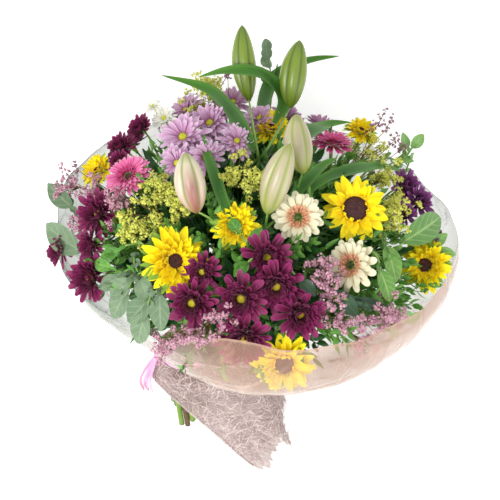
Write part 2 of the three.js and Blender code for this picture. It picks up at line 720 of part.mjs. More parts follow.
function add(name, colour, build, { roughness = 0.6, opacity = 1 } = {}) {
  let body = build(0);
  const box = body.boundingBox();
  for (const other of taken) {
    if (boxesMeet(box, other.box)) body = body.subtract(other.grown);
  }
  const grown = build(gap);
  taken.push({ grown, box: grown.boundingBox() });
  const { vertProperties, triVerts } = largest(body).getMesh();
  const geometry = new THREE.BufferGeometry()
    .setAttribute("position", new THREE.BufferAttribute(vertProperties, 3))
    .setIndex(new THREE.BufferAttribute(triVerts, 1));
  const material = new THREE.MeshStandardMaterial({
    color: colour, roughness, metalness: 0, opacity, transparent: opacity < 1 });
  const mesh = new THREE.Mesh(geometry, material);
  mesh.name = name;
  bouquet.add(mesh);
}

add("binding_twine", "#b79a6a", (grow) => ring(twineRing, grow), { roughness: 0.9 });
add("sisal_web", "#e3bfc2", sisalWrap, { roughness: 0.9 });
add("clear_film", "#f4ece4", filmWrap, { roughness: 0.08, opacity: 0.3 });
add("raffia_tie", "#f2b2d6", raffiaTie, { roughness: 0.5 });
pieces.forEach((piece) => add(piece.name, piece.colour, (grow) => stemsOf(piece, grow)));
heads.forEach(({ name, colour, build }) => add(name, colour, build));
buds.forEach(({ name, colour, build }) => add(name, colour, build));

bouquet.rotation.x = radians(layAngle - 90);
bouquet.position.z = heartHeight;
const model = new THREE.Group();
model.add(bouquet);
model.updateMatrixWorld(true);
const extent = new THREE.Box3().setFromObject(model, true);
bouquet.position.x -= (extent.min.x + extent.max.x) / 2;
bouquet.position.y -= (extent.min.y + extent.max.y) / 2;
bouquet.position.z -= extent.min.z;

export default model;
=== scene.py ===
"""A hand-tied bouquet in clear film and pink sisal web, lying on a pale surface.

Shapes are worked out upright, in millimetres, with the stems down -Z, the heads up +Z and the
front towards -Y. The LAY matrix then tips each finished mesh on to the surface, in metres.
"""
import math

import bpy
import numpy as np
from mathutils import Matrix, Vector


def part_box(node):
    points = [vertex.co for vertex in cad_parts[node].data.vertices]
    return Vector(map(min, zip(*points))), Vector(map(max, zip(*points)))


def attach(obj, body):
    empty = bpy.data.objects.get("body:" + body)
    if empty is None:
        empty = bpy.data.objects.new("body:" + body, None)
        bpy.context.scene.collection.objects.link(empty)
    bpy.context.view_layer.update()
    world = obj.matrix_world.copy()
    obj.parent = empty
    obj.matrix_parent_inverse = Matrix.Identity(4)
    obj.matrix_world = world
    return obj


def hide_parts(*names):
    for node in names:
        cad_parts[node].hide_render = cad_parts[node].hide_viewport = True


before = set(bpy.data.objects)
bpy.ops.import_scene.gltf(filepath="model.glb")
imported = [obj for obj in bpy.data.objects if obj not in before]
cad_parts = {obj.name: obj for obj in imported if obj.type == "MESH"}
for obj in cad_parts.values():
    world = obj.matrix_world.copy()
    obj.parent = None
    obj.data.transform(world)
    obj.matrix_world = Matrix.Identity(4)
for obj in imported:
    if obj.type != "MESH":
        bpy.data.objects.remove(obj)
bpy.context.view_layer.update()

# ---- Driving dimensions, millimetres and degrees, as the solids have them ----
LAY_ANGLE = 35
DOME_RADIUS = 215
DOME_HEIGHT = 150
WAIST_HEIGHT = -198
FOOT_HEIGHT = -305
STEM_RADIUS = 3.6
STEM_PITCH = 7.4
STEM_RINGS = 3
FORK_DEPTH = 0.66
GOLDEN_TURN = math.radians(137.508)
GOLDEN_SHARE = 0.618

# ---- The view: places are read in a picture of 500 by 500 ----
MM_PER_PIXEL = 1.25
PICTURE_MIDDLE = 250
EYE_DISTANCE = 1700
EYE_ELEVATION = math.radians(42)
EYE_ROLL = math.radians(11)
SENSOR_WIDTH = 36

TOWARDS_EYE = Vector((0, -math.cos(EYE_ELEVATION), math.sin(EYE_ELEVATION)))
PICTURE_RIGHT = Matrix.Rotation(EYE_ROLL, 3, TOWARDS_EYE) @ Vector((1, 0, 0))
PICTURE_UP = TOWARDS_EYE.cross(PICTURE_RIGHT)

WAIST = Vector((-62, 0, WAIST_HEIGHT))
twine_low, twine_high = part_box("binding_twine")
LAY = Matrix.Rotation(math.radians(LAY_ANGLE - 90), 4, "X") @ Matrix.Scale(0.001, 4)
LAY.translation = (twine_low + twine_high) / 2 - LAY.to_3x3() @ WAIST
STAND = LAY.inverted()


def at_least(height, point):
    """The upright point, lifted so that it lies no lower than that height once laid."""
    laid = LAY @ Vector(point)
    laid.z = max(laid.z, height / 1000)
    return STAND @ laid


EYE = TOWARDS_EYE * EYE_DISTANCE


def ray_through(at):
    """The way the eye looks through a picture point."""
    across, down = at
    shift = PICTURE_RIGHT * (across - PICTURE_MIDDLE) + PICTURE_UP * (PICTURE_MIDDLE - down)
    return (shift * MM_PER_PIXEL - EYE).normalized()


def on_level(at):
    """The upright place that a picture point shows at a height above the surface."""
    across, down, height = at
    ray = ray_through((across, down))
    start, way = LAY @ EYE, LAY.to_3x3() @ ray
    return EYE + ray * ((height / 1000 - start.z) / way.z)


def on_dome(at, lift=0.0):
    """The place on the flower dome, or on one larger by lift, that a picture point shows."""
    ray = ray_through(at)
    size = Vector((DOME_RADIUS + lift, DOME_RADIUS + lift, DOME_HEIGHT + lift))
    start = Vector([e / s for e, s in zip(EYE, size)])
    step = Vector([r / s for r, s in zip(ray, size)])
    a, b = step.length_squared, start.dot(step)
    missed = max(0.0, b * b - a * (start.length_squared - 1))
    return EYE + ray * ((-b - math.sqrt(missed)) / a)


def facing(lean):
    """The way a flower faces: at the eye, leaning right and up in the picture."""
    return (TOWARDS_EYE + PICTURE_RIGHT * lean[0] + PICTURE_UP * lean[1]).normalized()


OUTWARD_LEAN = 240


def lean_at(at):
    """How far flowers lean at a picture place: outward from the middle."""
    return ((at[0] - PICTURE_MIDDLE) / OUTWARD_LEAN, (PICTURE_MIDDLE - at[1]) / OUTWARD_LEAN)


def dome_way(point):
    """The way out of the dome at a point."""
    return Vector((point.x / DOME_RADIUS**2, point.y / DOME_RADIUS**2, point.z / DOME_HEIGHT**2)).normalized()


def behind(turn, height):
    """A place on the hidden side of the dome, and the way out from it."""
    angle = math.radians(turn)
    radius = DOME_RADIUS * math.sqrt(1 - (height / DOME_HEIGHT) ** 2)
    centre = Vector((math.sin(angle) * radius, -math.cos(angle) * radius, height))
    return centre, dome_way(centre)


def head_place(centre, axis, spin, scale):
    """The frame of a head that faces along an axis."""
    turn = axis.to_track_quat("Z", "Y").to_matrix().to_4x4()
    return Matrix.Translation(centre) @ turn @ Matrix.Rotation(spin, 4, "Z") @ Matrix.Scale(scale, 4)


# ---- Camera ----
SIGHT_METRES = 20


def lay_direction(way):
    """An upright direction as it lies once the bouquet is laid down."""
    return (LAY.to_3x3() @ way).normalized()


camera = bpy.data.objects.new("camera", bpy.data.cameras.new("camera"))
bpy.context.scene.collection.objects.link(camera)
camera.data.sensor_width = SENSOR_WIDTH
camera.data.lens = SENSOR_WIDTH * EYE_DISTANCE / (2 * PICTURE_MIDDLE * MM_PER_PIXEL)
camera.data.clip_end = SIGHT_METRES
looking = Matrix((lay_direction(PICTURE_RIGHT), lay_direction(PICTURE_UP), lay_direction(TOWARDS_EYE)))
camera.matrix_world = Matrix.Translation(LAY @ EYE) @ looking.transposed().to_4x4()
bpy.context.scene.camera = camera
bpy.context.scene.view_settings.view_transform = "Standard"


# ---- Nodes and colours ----
def linear(hex_colour):
    """An sRGB hex colour as linear red, green, blue and alpha."""
    parts = [int(hex_colour[i:i + 2], 16) / 255 for i in (1, 3, 5)]
    return (*[c / 12.92 if c <= 0.04045 else ((c + 0.055) / 1.055) ** 2.4 for c in parts], 1.0)


def add_node(tree, kind, links=None, stops=(), **settings):
    """Adds a node with its settings. links fills its inputs with values, sockets or nodes, and
    stops are the places and colours of a ramp."""
    node = tree.nodes.new(kind)
    for key, value in settings.items():
        setattr(node, key, value)
    for key, value in (links or {}).items():
        if isinstance(value, bpy.types.Node):
            value = next(socket for socket in value.outputs if socket.enabled)
        if isinstance(value, bpy.types.NodeSocket):
            tree.links.new(value, node.inputs[key])
        else:
            node.inputs[key].default_value = value
    for number, (position, colour) in enumerate(stops):
        elements = node.color_ramp.elements
        mark = elements[number] if number < 2 else elements.new(position)
        mark.position, mark.color = position, linear(colour)
    return node


def new_material(name, roughness, **shader):
    """A material with a principled shader, whose constant values are set on its own sockets."""
    material = bpy.data.materials.new(name)
    material.use_nodes = True
    principled = material.node_tree.nodes["Principled BSDF"]
    principled.inputs["Roughness"].default_value = roughness
    for key, value in shader.items():
        principled.inputs[key.replace("_", " ")].default_value = value
    return material, material.node_tree, principled


def sheet_places(tree):
    """The UV map of a surface, and its two parts: along the surface and across it."""
    uv = add_node(tree, "ShaderNodeUVMap", uv_map="UVMap")
    split = add_node(tree, "ShaderNodeSeparateXYZ", {0: uv})
    return uv, split.outputs[0], split.outputs[1]


def away_from(tree, middle, place):
    """How far a place lies from a middle line, on either side."""
    offset = add_node(tree, "ShaderNodeMath", {0: place, 1: middle}, operation="SUBTRACT")
    return add_node(tree, "ShaderNodeMath", {0: offset}, operation="ABSOLUTE")


def give_skin(tree, shader, colour, relief, strength, depth):
    """Gives the shader its colour, and bumps up to depth metres deep where the relief is high."""
    bump = add_node(tree, "ShaderNodeBump", {"Strength": strength, "Distance": depth, "Height": relief})
    tree.links.new(colour, shader.inputs["Base Color"])
    tree.links.new(bump.outputs["Normal"], shader.inputs["Normal"])


def petal_material(name, stops, rim, rim_share=0.35, roughness=0.55, streaks=20.0):
    """Petal skin: matt and softly glowing, coloured from its foot to its tip, with fine streaks
    along it and another colour at its rim. Each petal has its own tone."""
    material, tree, shader = new_material(
        name, roughness, Sheen_Weight=0.08, Sheen_Roughness=0.5, Specular_IOR_Level=0.3,
        Subsurface_Weight=0.1, Subsurface_Scale=0.003)
    uv, along, across = sheet_places(tree)
    side = away_from(tree, 0.5, across)
    tone = add_node(tree, "ShaderNodeAttribute", attribute_name="tone").outputs["Fac"]
    body = add_node(tree, "ShaderNodeValToRGB", {"Fac": along}, stops).outputs["Color"]
    edge = add_node(tree, "ShaderNodeMapRange", {0: side, 1: 0.22, 2: 0.5, 3: 0.0, 4: rim_share})
    edged = add_node(tree, "ShaderNodeMix", {0: edge, 6: body, 7: linear(rim)}, data_type="RGBA")
    grain = add_node(tree, "ShaderNodeVectorMath", {0: uv, 1: (2.0, streaks, 1.0)}, operation="MULTIPLY")
    grain = add_node(tree, "ShaderNodeVectorMath", {0: grain, 1: tone}, operation="ADD")
    noise = add_node(tree, "ShaderNodeTexNoise", {"Vector": grain, "Scale": 1.0, "Detail": 3.0})
    shade = add_node(tree, "ShaderNodeMapRange", {0: noise, 1: 0.3, 2: 0.7, 3: 0.84, 4: 1.12})
    lift = add_node(tree, "ShaderNodeMapRange", {0: tone, 1: 0.0, 2: 1.0, 3: 0.86, 4: 1.12})
    value = add_node(tree, "ShaderNodeMath", {0: shade, 1: lift}, operation="MULTIPLY")
    toned = add_node(tree, "ShaderNodeHueSaturation", {"Value": value, "Color": edged})
    give_skin(tree, shader, toned.outputs["Color"], noise, 0.3, 0.0004)
    return material


def leaf_material(name, face, light, vein, roughness=0.42, bloom=0.0, vein_pairs=7.0, midrib=0.7):
    """Leaf skin: satin, with a pale midrib, faint side veins and cloudy lighter patches."""
    material, tree, shader = new_material(
        name, roughness, Specular_IOR_Level=0.38, Sheen_Weight=bloom, Sheen_Roughness=0.6,
        Subsurface_Weight=0.05, Subsurface_Scale=0.002)
    _, along, across = sheet_places(tree)
    side = away_from(tree, 0.5, across)
    rib = add_node(tree, "ShaderNodeMapRange", {0: side, 1: 0.0, 2: 0.07, 3: midrib, 4: 0.0})
    slant = add_node(tree, "ShaderNodeMath", {0: side, 1: -0.5, 2: along}, operation="MULTIPLY_ADD")
    wave = add_node(tree, "ShaderNodeMath", {0: slant, 1: vein_pairs * 2 * math.pi}, operation="MULTIPLY")
    wave = add_node(tree, "ShaderNodeMath", {0: wave}, operation="SINE")
    veins = add_node(tree, "ShaderNodeMapRange", {0: wave, 1: 0.84, 2: 1.0, 3: 0.0, 4: 0.4})
    lines = add_node(tree, "ShaderNodeMath", {0: rib, 1: veins}, operation="MAXIMUM")
    tone = add_node(tree, "ShaderNodeAttribute", attribute_name="tone").outputs["Fac"]
    place = add_node(tree, "ShaderNodeTexCoord").outputs["Object"]
    clouds = add_node(tree, "ShaderNodeTexNoise", {"Vector": place, "Scale": 90.0, "Detail": 3.0})
    patch = add_node(tree, "ShaderNodeMath", {0: clouds, 1: tone}, operation="MULTIPLY")
    patch = add_node(tree, "ShaderNodeMapRange", {0: patch, 1: 0.05, 2: 0.55, 3: 0.0, 4: 1.0})
    body = add_node(tree, "ShaderNodeMix", {0: patch, 6: linear(face), 7: linear(light)}, data_type="RGBA")
    veined = add_node(tree, "ShaderNodeMix", {0: lines, 6: body, 7: linear(vein)}, data_type="RGBA")
    give_skin(tree, shader, veined.outputs[2], lines, 0.3, 0.0003)
    return material


def mottled_material(name, stops, roughness=0.6, scale=400.0, grain=0.3, **values):
    """Stems, twigs, florets and fibres: close colours in fine mottling, with a fine grain."""
    material, tree, shader = new_material(name, roughness, **values)
    place = add_node(tree, "ShaderNodeTexCoord").outputs["Object"]
    noise = add_node(tree, "ShaderNodeTexNoise", {"Vector": place, "Scale": scale, "Detail": 4.0})
    tone = add_node(tree, "ShaderNodeAttribute", attribute_name="tone").outputs["Fac"]
    mixed = add_node(tree, "ShaderNodeMath", {0: noise, 1: tone}, operation="ADD")
    mixed = add_node(tree, "ShaderNodeMapRange", {0: mixed, 1: 0.4, 2: 1.3, 3: 0.0, 4: 1.0})
    colour = add_node(tree, "ShaderNodeValToRGB", {"Fac": mixed}, stops)
    give_skin(tree, shader, colour.outputs["Color"], noise, grain, 0.0004)
    return material


# ---- Meshes ----
def show(obj):
    bpy.context.scene.collection.objects.link(obj)
    return obj


def mesh_of(name, points, faces, uvs=None, tone=None, material=None):
    """A mesh from points and faces, with a UV and a tone for each point."""
    mesh = bpy.data.meshes.new(name)
    mesh.from_pydata([tuple(p) for p in points], [], [tuple(int(i) for i in f) for f in faces])
    corners = np.zeros(len(mesh.loops), np.int32)
    mesh.loops.foreach_get("vertex_index", corners)
    layer = mesh.uv_layers.new(name="UVMap")
    flat = np.asarray(uvs if uvs is not None else np.zeros((len(points), 2)), float)[corners]
    layer.data.foreach_set("uv", flat.ravel())
    values = mesh.attributes.new("tone", "FLOAT", "POINT")
    tones = np.full(len(points), 0.5) if tone is None else np.broadcast_to(tone, len(points)).astype(float)
    values.data.foreach_set("value", tones)
    if material:
        mesh.materials.append(material)
    mesh.polygons.foreach_set("use_smooth", np.ones(len(mesh.polygons), bool))
    return mesh


def grid_faces(rows, columns, closed=False, start=0):
    """The faces between rows of points, closed round if the last column meets the first."""
    last = columns if closed else columns - 1
    return [(start + i * columns + j, start + i * columns + (j + 1) % columns,
             start + (i + 1) * columns + (j + 1) % columns, start + (i + 1) * columns + j)
            for i in range(rows - 1) for j in range(last)]


def sheet_mesh(name, points, material=None, tone=None):
    """A surface through rows of points. u runs along the rows and v across them."""
    rows, columns = points.shape[:2]
    u, v = np.meshgrid(np.linspace(0, 1, rows), np.linspace(0, 1, columns), indexing="ij")
    faces = [face[::-1] for face in grid_faces(rows, columns)]
    return mesh_of(name, points.reshape(-1, 3), faces, np.stack([u, v], -1).reshape(-1, 2), tone, material)


def petal_points(length, width, fullest, foot, blunt, rise, cup, fold, ruffle, notch, along, across=4):
    """A petal or leaf from its foot at the origin out along +X, its face up +Z. fullest is where along
    it it is widest, foot how wide it starts, and blunt how rounded its outline is (less is blunter).
    rise is its slope in degrees at its foot and its tip. cup, fold and ruffle are shares of its width,
    notch is a share of its length, and along and across count its steps."""
    t = np.linspace(0, 1, along + 1)
    t = 1 - (1 - t) ** 1.35
    u = t[:, None]
    v = np.linspace(-1, 1, across + 1)[None, :]
    swell = np.sin(np.pi * u ** (math.log(0.5) / math.log(fullest))) ** blunt
    half = 0.5 * width * np.maximum(swell, foot * (1 - u) ** 0.6)
    half[-1] = 0.08 * width
    slope = np.radians(rise[0] + (rise[1] - rise[0]) * t)
    steps = np.diff(t, prepend=0.0) * length
    x, z = np.cumsum(steps * np.cos(slope)), np.cumsum(steps * np.sin(slope))
    x, z = (x - x[0])[:, None], (z - z[0])[:, None]
    lift = (cup * width * v**2 + fold * width * np.abs(v)) * np.sin(np.pi * u**0.8)
    lift = lift + ruffle * width * np.sin(9 * u + 1.3) * v * u
    reach = -notch * length * (1 - np.abs(v)) * u**6
    tilt = slope[:, None]
    return np.stack([x + reach * np.cos(tilt) - lift * np.sin(tilt), half * v + 0 * x,
                     z + reach * np.sin(tilt) + lift * np.cos(tilt)], -1)


elements = []


def element(name, mesh):
    """A small shape that the growth trees copy. It is removed once the pieces are made."""
    elements.append(show(bpy.data.objects.new(name, mesh)))
    return elements[-1]


def join(name, meshes):
    """One object from meshes, or from (mesh, place) pairs."""
    parts = []
    for item in meshes:
        mesh, place = item if isinstance(item, tuple) else (item, None)
        if place is not None:
            mesh.transform(place)
        parts.append(show(bpy.data.objects.new(name, mesh)))
    if len(parts) > 1:
        with bpy.context.temp_override(active_object=parts[0], selected_editable_objects=parts):
            bpy.ops.object.join()
    parts[0].name = name
    return parts[0]


def finished(obj, slot, *nodes):
    """Lays a piece down, and hides the solids that it stands for. Its slot is not used."""
    obj.data.transform(LAY)
    obj.data.update()
    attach(obj, "root")
    if nodes:
        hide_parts(*nodes)
    return obj


# ---- Growth trees ----
def growth_tree(name, *measures):
    """A tree that copies an element, with inputs for its measures, and those inputs."""
    tree = bpy.data.node_groups.new(name, "GeometryNodeTree")
    tree.interface.new_socket("Geometry", in_out="OUTPUT", socket_type="NodeSocketGeometry")
    sockets = [("Geometry", "Geometry"), ("Element", "Object"), *[(label, "Float") for label in measures],
               ("Spread", "Float"), ("Count", "Int"), ("Seed", "Int"), ("Finish", "Material")]
    for label, kind in sockets:
        tree.interface.new_socket(label, in_out="INPUT", socket_type="NodeSocket" + kind)
    return tree, tree.nodes.new("NodeGroupInput").outputs


def grow(name, tree, base=None, **values):
    """Runs a growth tree on a base mesh and gives back the plain mesh that it makes."""
    host = show(bpy.data.objects.new(name, base or bpy.data.meshes.new(name)))
    modifier = host.modifiers.new("growth", "NODES")
    modifier.node_group = tree
    inputs = {item.name: item for item in tree.interface.items_tree if item.in_out == "INPUT"}
    for label, value in values.items():
        item = inputs[label.replace("_", " ")]
        modifier[item.identifier] = float(value) if item.socket_type == "NodeSocketFloat" else value
    bpy.context.view_layer.update()
    graph = bpy.context.evaluated_depsgraph_get()
    mesh = bpy.data.meshes.new_from_object(host.evaluated_get(graph), depsgraph=graph)
    bpy.data.objects.remove(host)
    mesh.polygons.foreach_set("use_smooth", np.ones(len(mesh.polygons), bool))
    return mesh


def finish_copies(tree, group, points, rotation, scale):
    """Copies the element on to points, gives each copy its tone, and makes plain mesh of it."""
    shape = add_node(tree, "GeometryNodeObjectInfo", {"Object": group["Element"]}).outputs["Geometry"]
    copies = add_node(tree, "GeometryNodeInstanceOnPoints", {
        "Points": points, "Instance": shape, "Rotation": rotation, "Scale": scale})
    tone = add_node(tree, "FunctionNodeRandomValue", {2: 0.0, 3: 1.0, "Seed": group["Seed"]},
                    data_type="FLOAT")
    toned = add_node(tree, "GeometryNodeStoreNamedAttribute", {
        0: copies, "Name": "tone", "Value": tone}, data_type="FLOAT", domain="INSTANCE")
    real = add_node(tree, "GeometryNodeRealizeInstances", {0: toned})
    painted = add_node(tree, "GeometryNodeSetMaterial", {0: real, "Material": group["Finish"]})
    tree.links.new(painted.outputs[0], tree.nodes.new("NodeGroupOutput").inputs[0])


def chances(tree, group, count):
    """Random numbers from -1 to 1 for each point, one for each use, and the same times Spread."""
    seeds = [add_node(tree, "ShaderNodeMath", {0: group["Seed"], 1: float(k)}, operation="ADD")
             for k in range(count)]
    chance = [add_node(tree, "FunctionNodeRandomValue", {2: -1.0, 3: 1.0, "Seed": seed}, data_type="FLOAT")
              for seed in seeds]
    return chance, [add_node(tree, "ShaderNodeMath", {0: c, 1: group["Spread"]}, operation="MULTIPLY")
                    for c in chance]


def varied(tree, size, chance, share):
    """A size made larger or smaller by chance, by up to a share of it."""
    vary = add_node(tree, "ShaderNodeMath", {0: chance, 1: share, 2: 1.0}, operation="MULTIPLY_ADD")
    return add_node(tree, "ShaderNodeMath", {0: size, 1: vary}, operation="MULTIPLY")


def raised(tree, lean, wobble):
    """The turn about Y that raises an element by its lean and a wobble."""
    lean = add_node(tree, "ShaderNodeMath", {0: lean, 1: wobble}, operation="ADD")
    return add_node(tree, "ShaderNodeMath", {0: lean, 1: -1.0}, operation="MULTIPLY")


def turned_on(tree, rotation, turns):
    """A rotation turned on about its own axes. turns is {axis number: angle}."""
    euler = add_node(tree, "ShaderNodeCombineXYZ", turns)
    by = add_node(tree, "FunctionNodeEulerToRotation", {0: euler})
    return add_node(tree, "FunctionNodeRotateRotation", {0: rotation, 1: by}, rotation_space="LOCAL")


def whorl_tree():
    """Copies of an element round an axis, from the inside out, each turned on by the same step."""
    ranges = ("Radius", "Height", "Tilt", "Size")
    tree, group = growth_tree("whorl", "Turn Step", "First Turn", "Evenness", *[
        f"{end} {label}" for label in ranges for end in ("Inner", "Outer")])
    index = add_node(tree, "GeometryNodeInputIndex")
    last = add_node(tree, "ShaderNodeMath", {0: group["Count"], 1: 1.0}, operation="SUBTRACT")
    last = add_node(tree, "ShaderNodeMath", {0: last, 1: 1.0}, operation="MAXIMUM")
    part = add_node(tree, "ShaderNodeMath", {0: index, 1: last}, operation="DIVIDE")
    part = add_node(tree, "ShaderNodeMath", {0: part, 1: group["Evenness"]}, operation="POWER")
    radius, height, tilt, size = [add_node(tree, "ShaderNodeMix", {
        0: part, 2: group["Inner " + label], 3: group["Outer " + label]}) for label in ranges]
    _, wobble = chances(tree, group, 4)
    angle = add_node(tree, "ShaderNodeMath", {
        0: index, 1: group["Turn Step"], 2: group["First Turn"]}, operation="MULTIPLY_ADD")
    angle = add_node(tree, "ShaderNodeMath", {0: angle, 1: wobble[0]}, operation="ADD")
    out = add_node(tree, "ShaderNodeCombineXYZ", {0: radius, 2: height})
    place = add_node(tree, "ShaderNodeVectorRotate", {"Vector": out, "Angle": angle}, rotation_type="Z_AXIS")
    points = add_node(tree, "GeometryNodePoints", {"Count": group["Count"], "Position": place})
    lean = raised(tree, tilt, wobble[1])
    euler = add_node(tree, "ShaderNodeCombineXYZ", {0: wobble[2], 1: lean, 2: angle})
    rotation = add_node(tree, "FunctionNodeEulerToRotation", {0: euler})
    finish_copies(tree, group, points, rotation, varied(tree, size, wobble[3], 0.7))
    return tree


def sprig_tree():
    """Copies of an element along twigs, turned on round the twig and leaning away from it."""
    tree, group = growth_tree("sprig", "Spacing", "Start", "Lean", "Start Size", "End Size")
    curve = add_node(tree, "GeometryNodeMeshToCurve", {0: group["Geometry"]})
    even = add_node(tree, "GeometryNodeResampleCurve", {0: curve, "Length": group["Spacing"]}, mode="LENGTH")
    factor = add_node(tree, "GeometryNodeSplineParameter").outputs["Factor"]
    tangent = add_node(tree, "GeometryNodeInputTangent")
    marks = []
    for mark, value, kind in (("along", factor, "FLOAT"), ("way", tangent, "FLOAT_VECTOR")):
        even = add_node(tree, "GeometryNodeStoreNamedAttribute", {
            0: even, "Name": mark, "Value": value}, data_type=kind, domain="POINT")
        marks.append(add_node(tree, "GeometryNodeInputNamedAttribute", {0: mark}, data_type=kind).outputs[0])
    along, way = marks
    points = add_node(tree, "GeometryNodeCurveToPoints", {0: even}, mode="EVALUATED").outputs[0]
    early = add_node(tree, "ShaderNodeMath", {0: along, 1: group["Start"]}, operation="LESS_THAN")
    kept = add_node(tree, "GeometryNodeDeleteGeometry", {0: points, "Selection": early}, domain="POINT")
    chance, wobble = chances(tree, group, 3)
    index = add_node(tree, "GeometryNodeInputIndex")
    roll = add_node(tree, "ShaderNodeMath", {
        0: index, 1: GOLDEN_TURN, 2: wobble[0]}, operation="MULTIPLY_ADD")
    rotation = add_node(tree, "FunctionNodeAlignRotationToVector", {"Vector": way}, axis="X")
    for turn in ({0: roll}, {1: raised(tree, group["Lean"], wobble[1])}):
        rotation = turned_on(tree, rotation, turn)
    size = add_node(tree, "ShaderNodeMix", {0: along, 2: group["Start Size"], 3: group["End Size"]})
    finish_copies(tree, group, kept, rotation, varied(tree, size, chance[2], 0.2))
    return tree


FLORET_SPREAD = 0.5


def scatter_tree():
    """A copy of an element on each point of the base, standing along the point's own way."""
    tree, group = growth_tree("scatter", "Size")
    points = add_node(tree, "GeometryNodeMeshToPoints", {0: group["Geometry"]})
    way = add_node(tree, "GeometryNodeInputNamedAttribute", {0: "way"}, data_type="FLOAT_VECTOR").outputs[0]
    standing = add_node(tree, "FunctionNodeAlignRotationToVector", {"Vector": way}, axis="Z")
    chance, wobble = chances(tree, group, 4)
    spin = add_node(tree, "ShaderNodeMath", {0: chance[0], 1: math.pi}, operation="MULTIPLY")
    rotation = turned_on(tree, standing, {0: wobble[1], 1: wobble[2], 2: spin})
    finish_copies(tree, group, points, rotation, varied(tree, group["Size"], chance[3], 0.25))
    return tree


WHORL = whorl_tree()
SPRIG = sprig_tree()
SCATTER = scatter_tree()


def whorl(shape, finish, count, radius, height=(0, 0), tilt=(0, 0), size=(1, 1), step=GOLDEN_TURN,
          first=0.0, spread=0.1, evenness=1.0, seed=0):
    """A whorl from its innermost to its outermost copy, each pair of values for these two."""
    ends = {"Radius": radius, "Height": height, "Tilt": [math.radians(t) for t in tilt], "Size": size}
    values = {f"{end}_{label}": value for label, pair in ends.items()
              for end, value in zip(("Inner", "Outer"), pair)}
    return grow("whorl", WHORL, Element=shape, Count=count, Turn_Step=step, First_Turn=first, Spread=spread,
                Evenness=evenness, Seed=seed, Finish=finish, **values)


def sprigs(paths, shape, finish, spacing, start, lean, size, spread=0.25, seed=0):
    """Leaves along twigs, from a start share of each, in size from its first leaf to its last."""
    lines = bpy.data.meshes.new("twig lines")
    ends = np.cumsum([len(path) for path in paths])
    edges = [(i, i + 1) for i in range(ends[-1] - 1) if i + 1 not in ends]
    lines.from_pydata([tuple(p) for path in paths for p in path], edges, [])
    return grow("sprigs", SPRIG, base=lines, Element=shape, Spacing=spacing, Start=start,
                Lean=math.radians(lean), Start_Size=size[0], End_Size=size[1], Spread=spread, Seed=seed,
                Finish=finish)


def scatter_florets(points, ways, finish, size, seed):
    """A statice floret at each point, standing along its way."""
    base = bpy.data.meshes.new("places")
    base.from_pydata([tuple(p) for p in points], [], [])
    way = base.attributes.new("way", "FLOAT_VECTOR", "POINT")
    way.data.foreach_set("vector", np.asarray(ways, float).ravel())
    return grow("scatter", SCATTER, base=base, Element=STATICE_FLORET, Size=size, Spread=FLORET_SPREAD,
                Seed=seed, Finish=finish)


# ---- Paths, tubes and turned shapes ----
STEPS_BETWEEN = 12


def smooth_path(points, count):
    """Evenly spaced points on a smooth curve through the given ones."""
    p = np.array([tuple(q) for q in points], float)
    p = np.vstack([2 * p[0] - p[1], p, 2 * p[-1] - p[-2]])
    t = np.linspace(0, 1, STEPS_BETWEEN, endpoint=False)[:, None]
    fine = [0.5 * (2 * b + (c - a) * t + (2 * a - 5 * b + 4 * c - d) * t**2 + (3 * b - a - 3 * c + d) * t**3)
            for a, b, c, d in zip(p, p[1:], p[2:], p[3:])]
    fine = np.vstack(fine + [p[-2:-1]])
    run = np.concatenate([[0], np.cumsum(np.linalg.norm(np.diff(fine, axis=0), axis=1))])
    return np.stack([np.interp(np.linspace(0, run[-1], count), run, fine[:, k]) for k in range(3)], -1)


def tubes(runs, material, sides=8):
    """One mesh of round tubes, closed at both ends. Each run is (path, radii)."""
    points, faces, uvs, tones = [], [], [], []
    start = 0
    turn = np.linspace(0, 2 * math.pi, sides, endpoint=False)[:, None]
    for number, (path, radii) in enumerate(runs):
        path = np.asarray(path, float)
        count = len(path)
        tangents = np.gradient(path, axis=0)
        tangents /= np.linalg.norm(tangents, axis=1)[:, None]
        side = np.cross(tangents[0], [0.3, 0.9, 0.2])
        for p, t, r in zip(path, tangents, np.broadcast_to(radii, count)):
            side = side - t * side.dot(t)
            side /= np.linalg.norm(side)
            points.append(p + r * (np.cos(turn) * side + np.sin(turn) * np.cross(t, side)))
        points += [path[:1], path[-1:]]
        faces += grid_faces(count, sides, closed=True, start=start)
        end, first, last = start + (count - 1) * sides, start + count * sides, start + count * sides + 1
        faces += [(first, start + (j + 1) % sides, start + j) for j in range(sides)]
        faces += [(last, end + j, end + (j + 1) % sides) for j in range(sides)]
        along = np.concatenate([np.repeat(np.linspace(0, 1, count), sides), [0, 1]])
        around = np.concatenate([np.tile(np.arange(sides) / sides, count), [0.5, 0.5]])
        uvs.append(np.stack([along, around], -1))
        tones.append(np.full(len(along), (number * GOLDEN_SHARE) % 1))
        start += count * sides + 2
    return mesh_of("tubes", np.vstack(points), faces, np.vstack(uvs), np.concatenate(tones), material)


def turned(outline, material, ribs=20):
    """A closed round shape about +Z from [radius, height] pairs, bottom first."""
    turn = np.linspace(0, 2 * math.pi, ribs, endpoint=False)
    points = [(r * math.cos(a), r * math.sin(a), z) for r, z in outline for a in turn]
    faces = grid_faces(len(outline), ribs, closed=True)
    faces.append(tuple(range(ribs))[::-1])
    faces.append(tuple((len(outline) - 1) * ribs + j for j in range(ribs)))
    return mesh_of("turned", points, faces, material=material)


# ---- Finishes ----
# Sunflower ray: thin matt petal, warm orange at its foot and clear yellow to its tip.
SUN_PETAL = petal_material("sunflower_petal_yellow", [
    (0.0, "#F4BE00"), (0.18, "#FCD800"), (0.5, "#FFE800"), (1.0, "#FFEA10")], "#FFF030", 0.3)
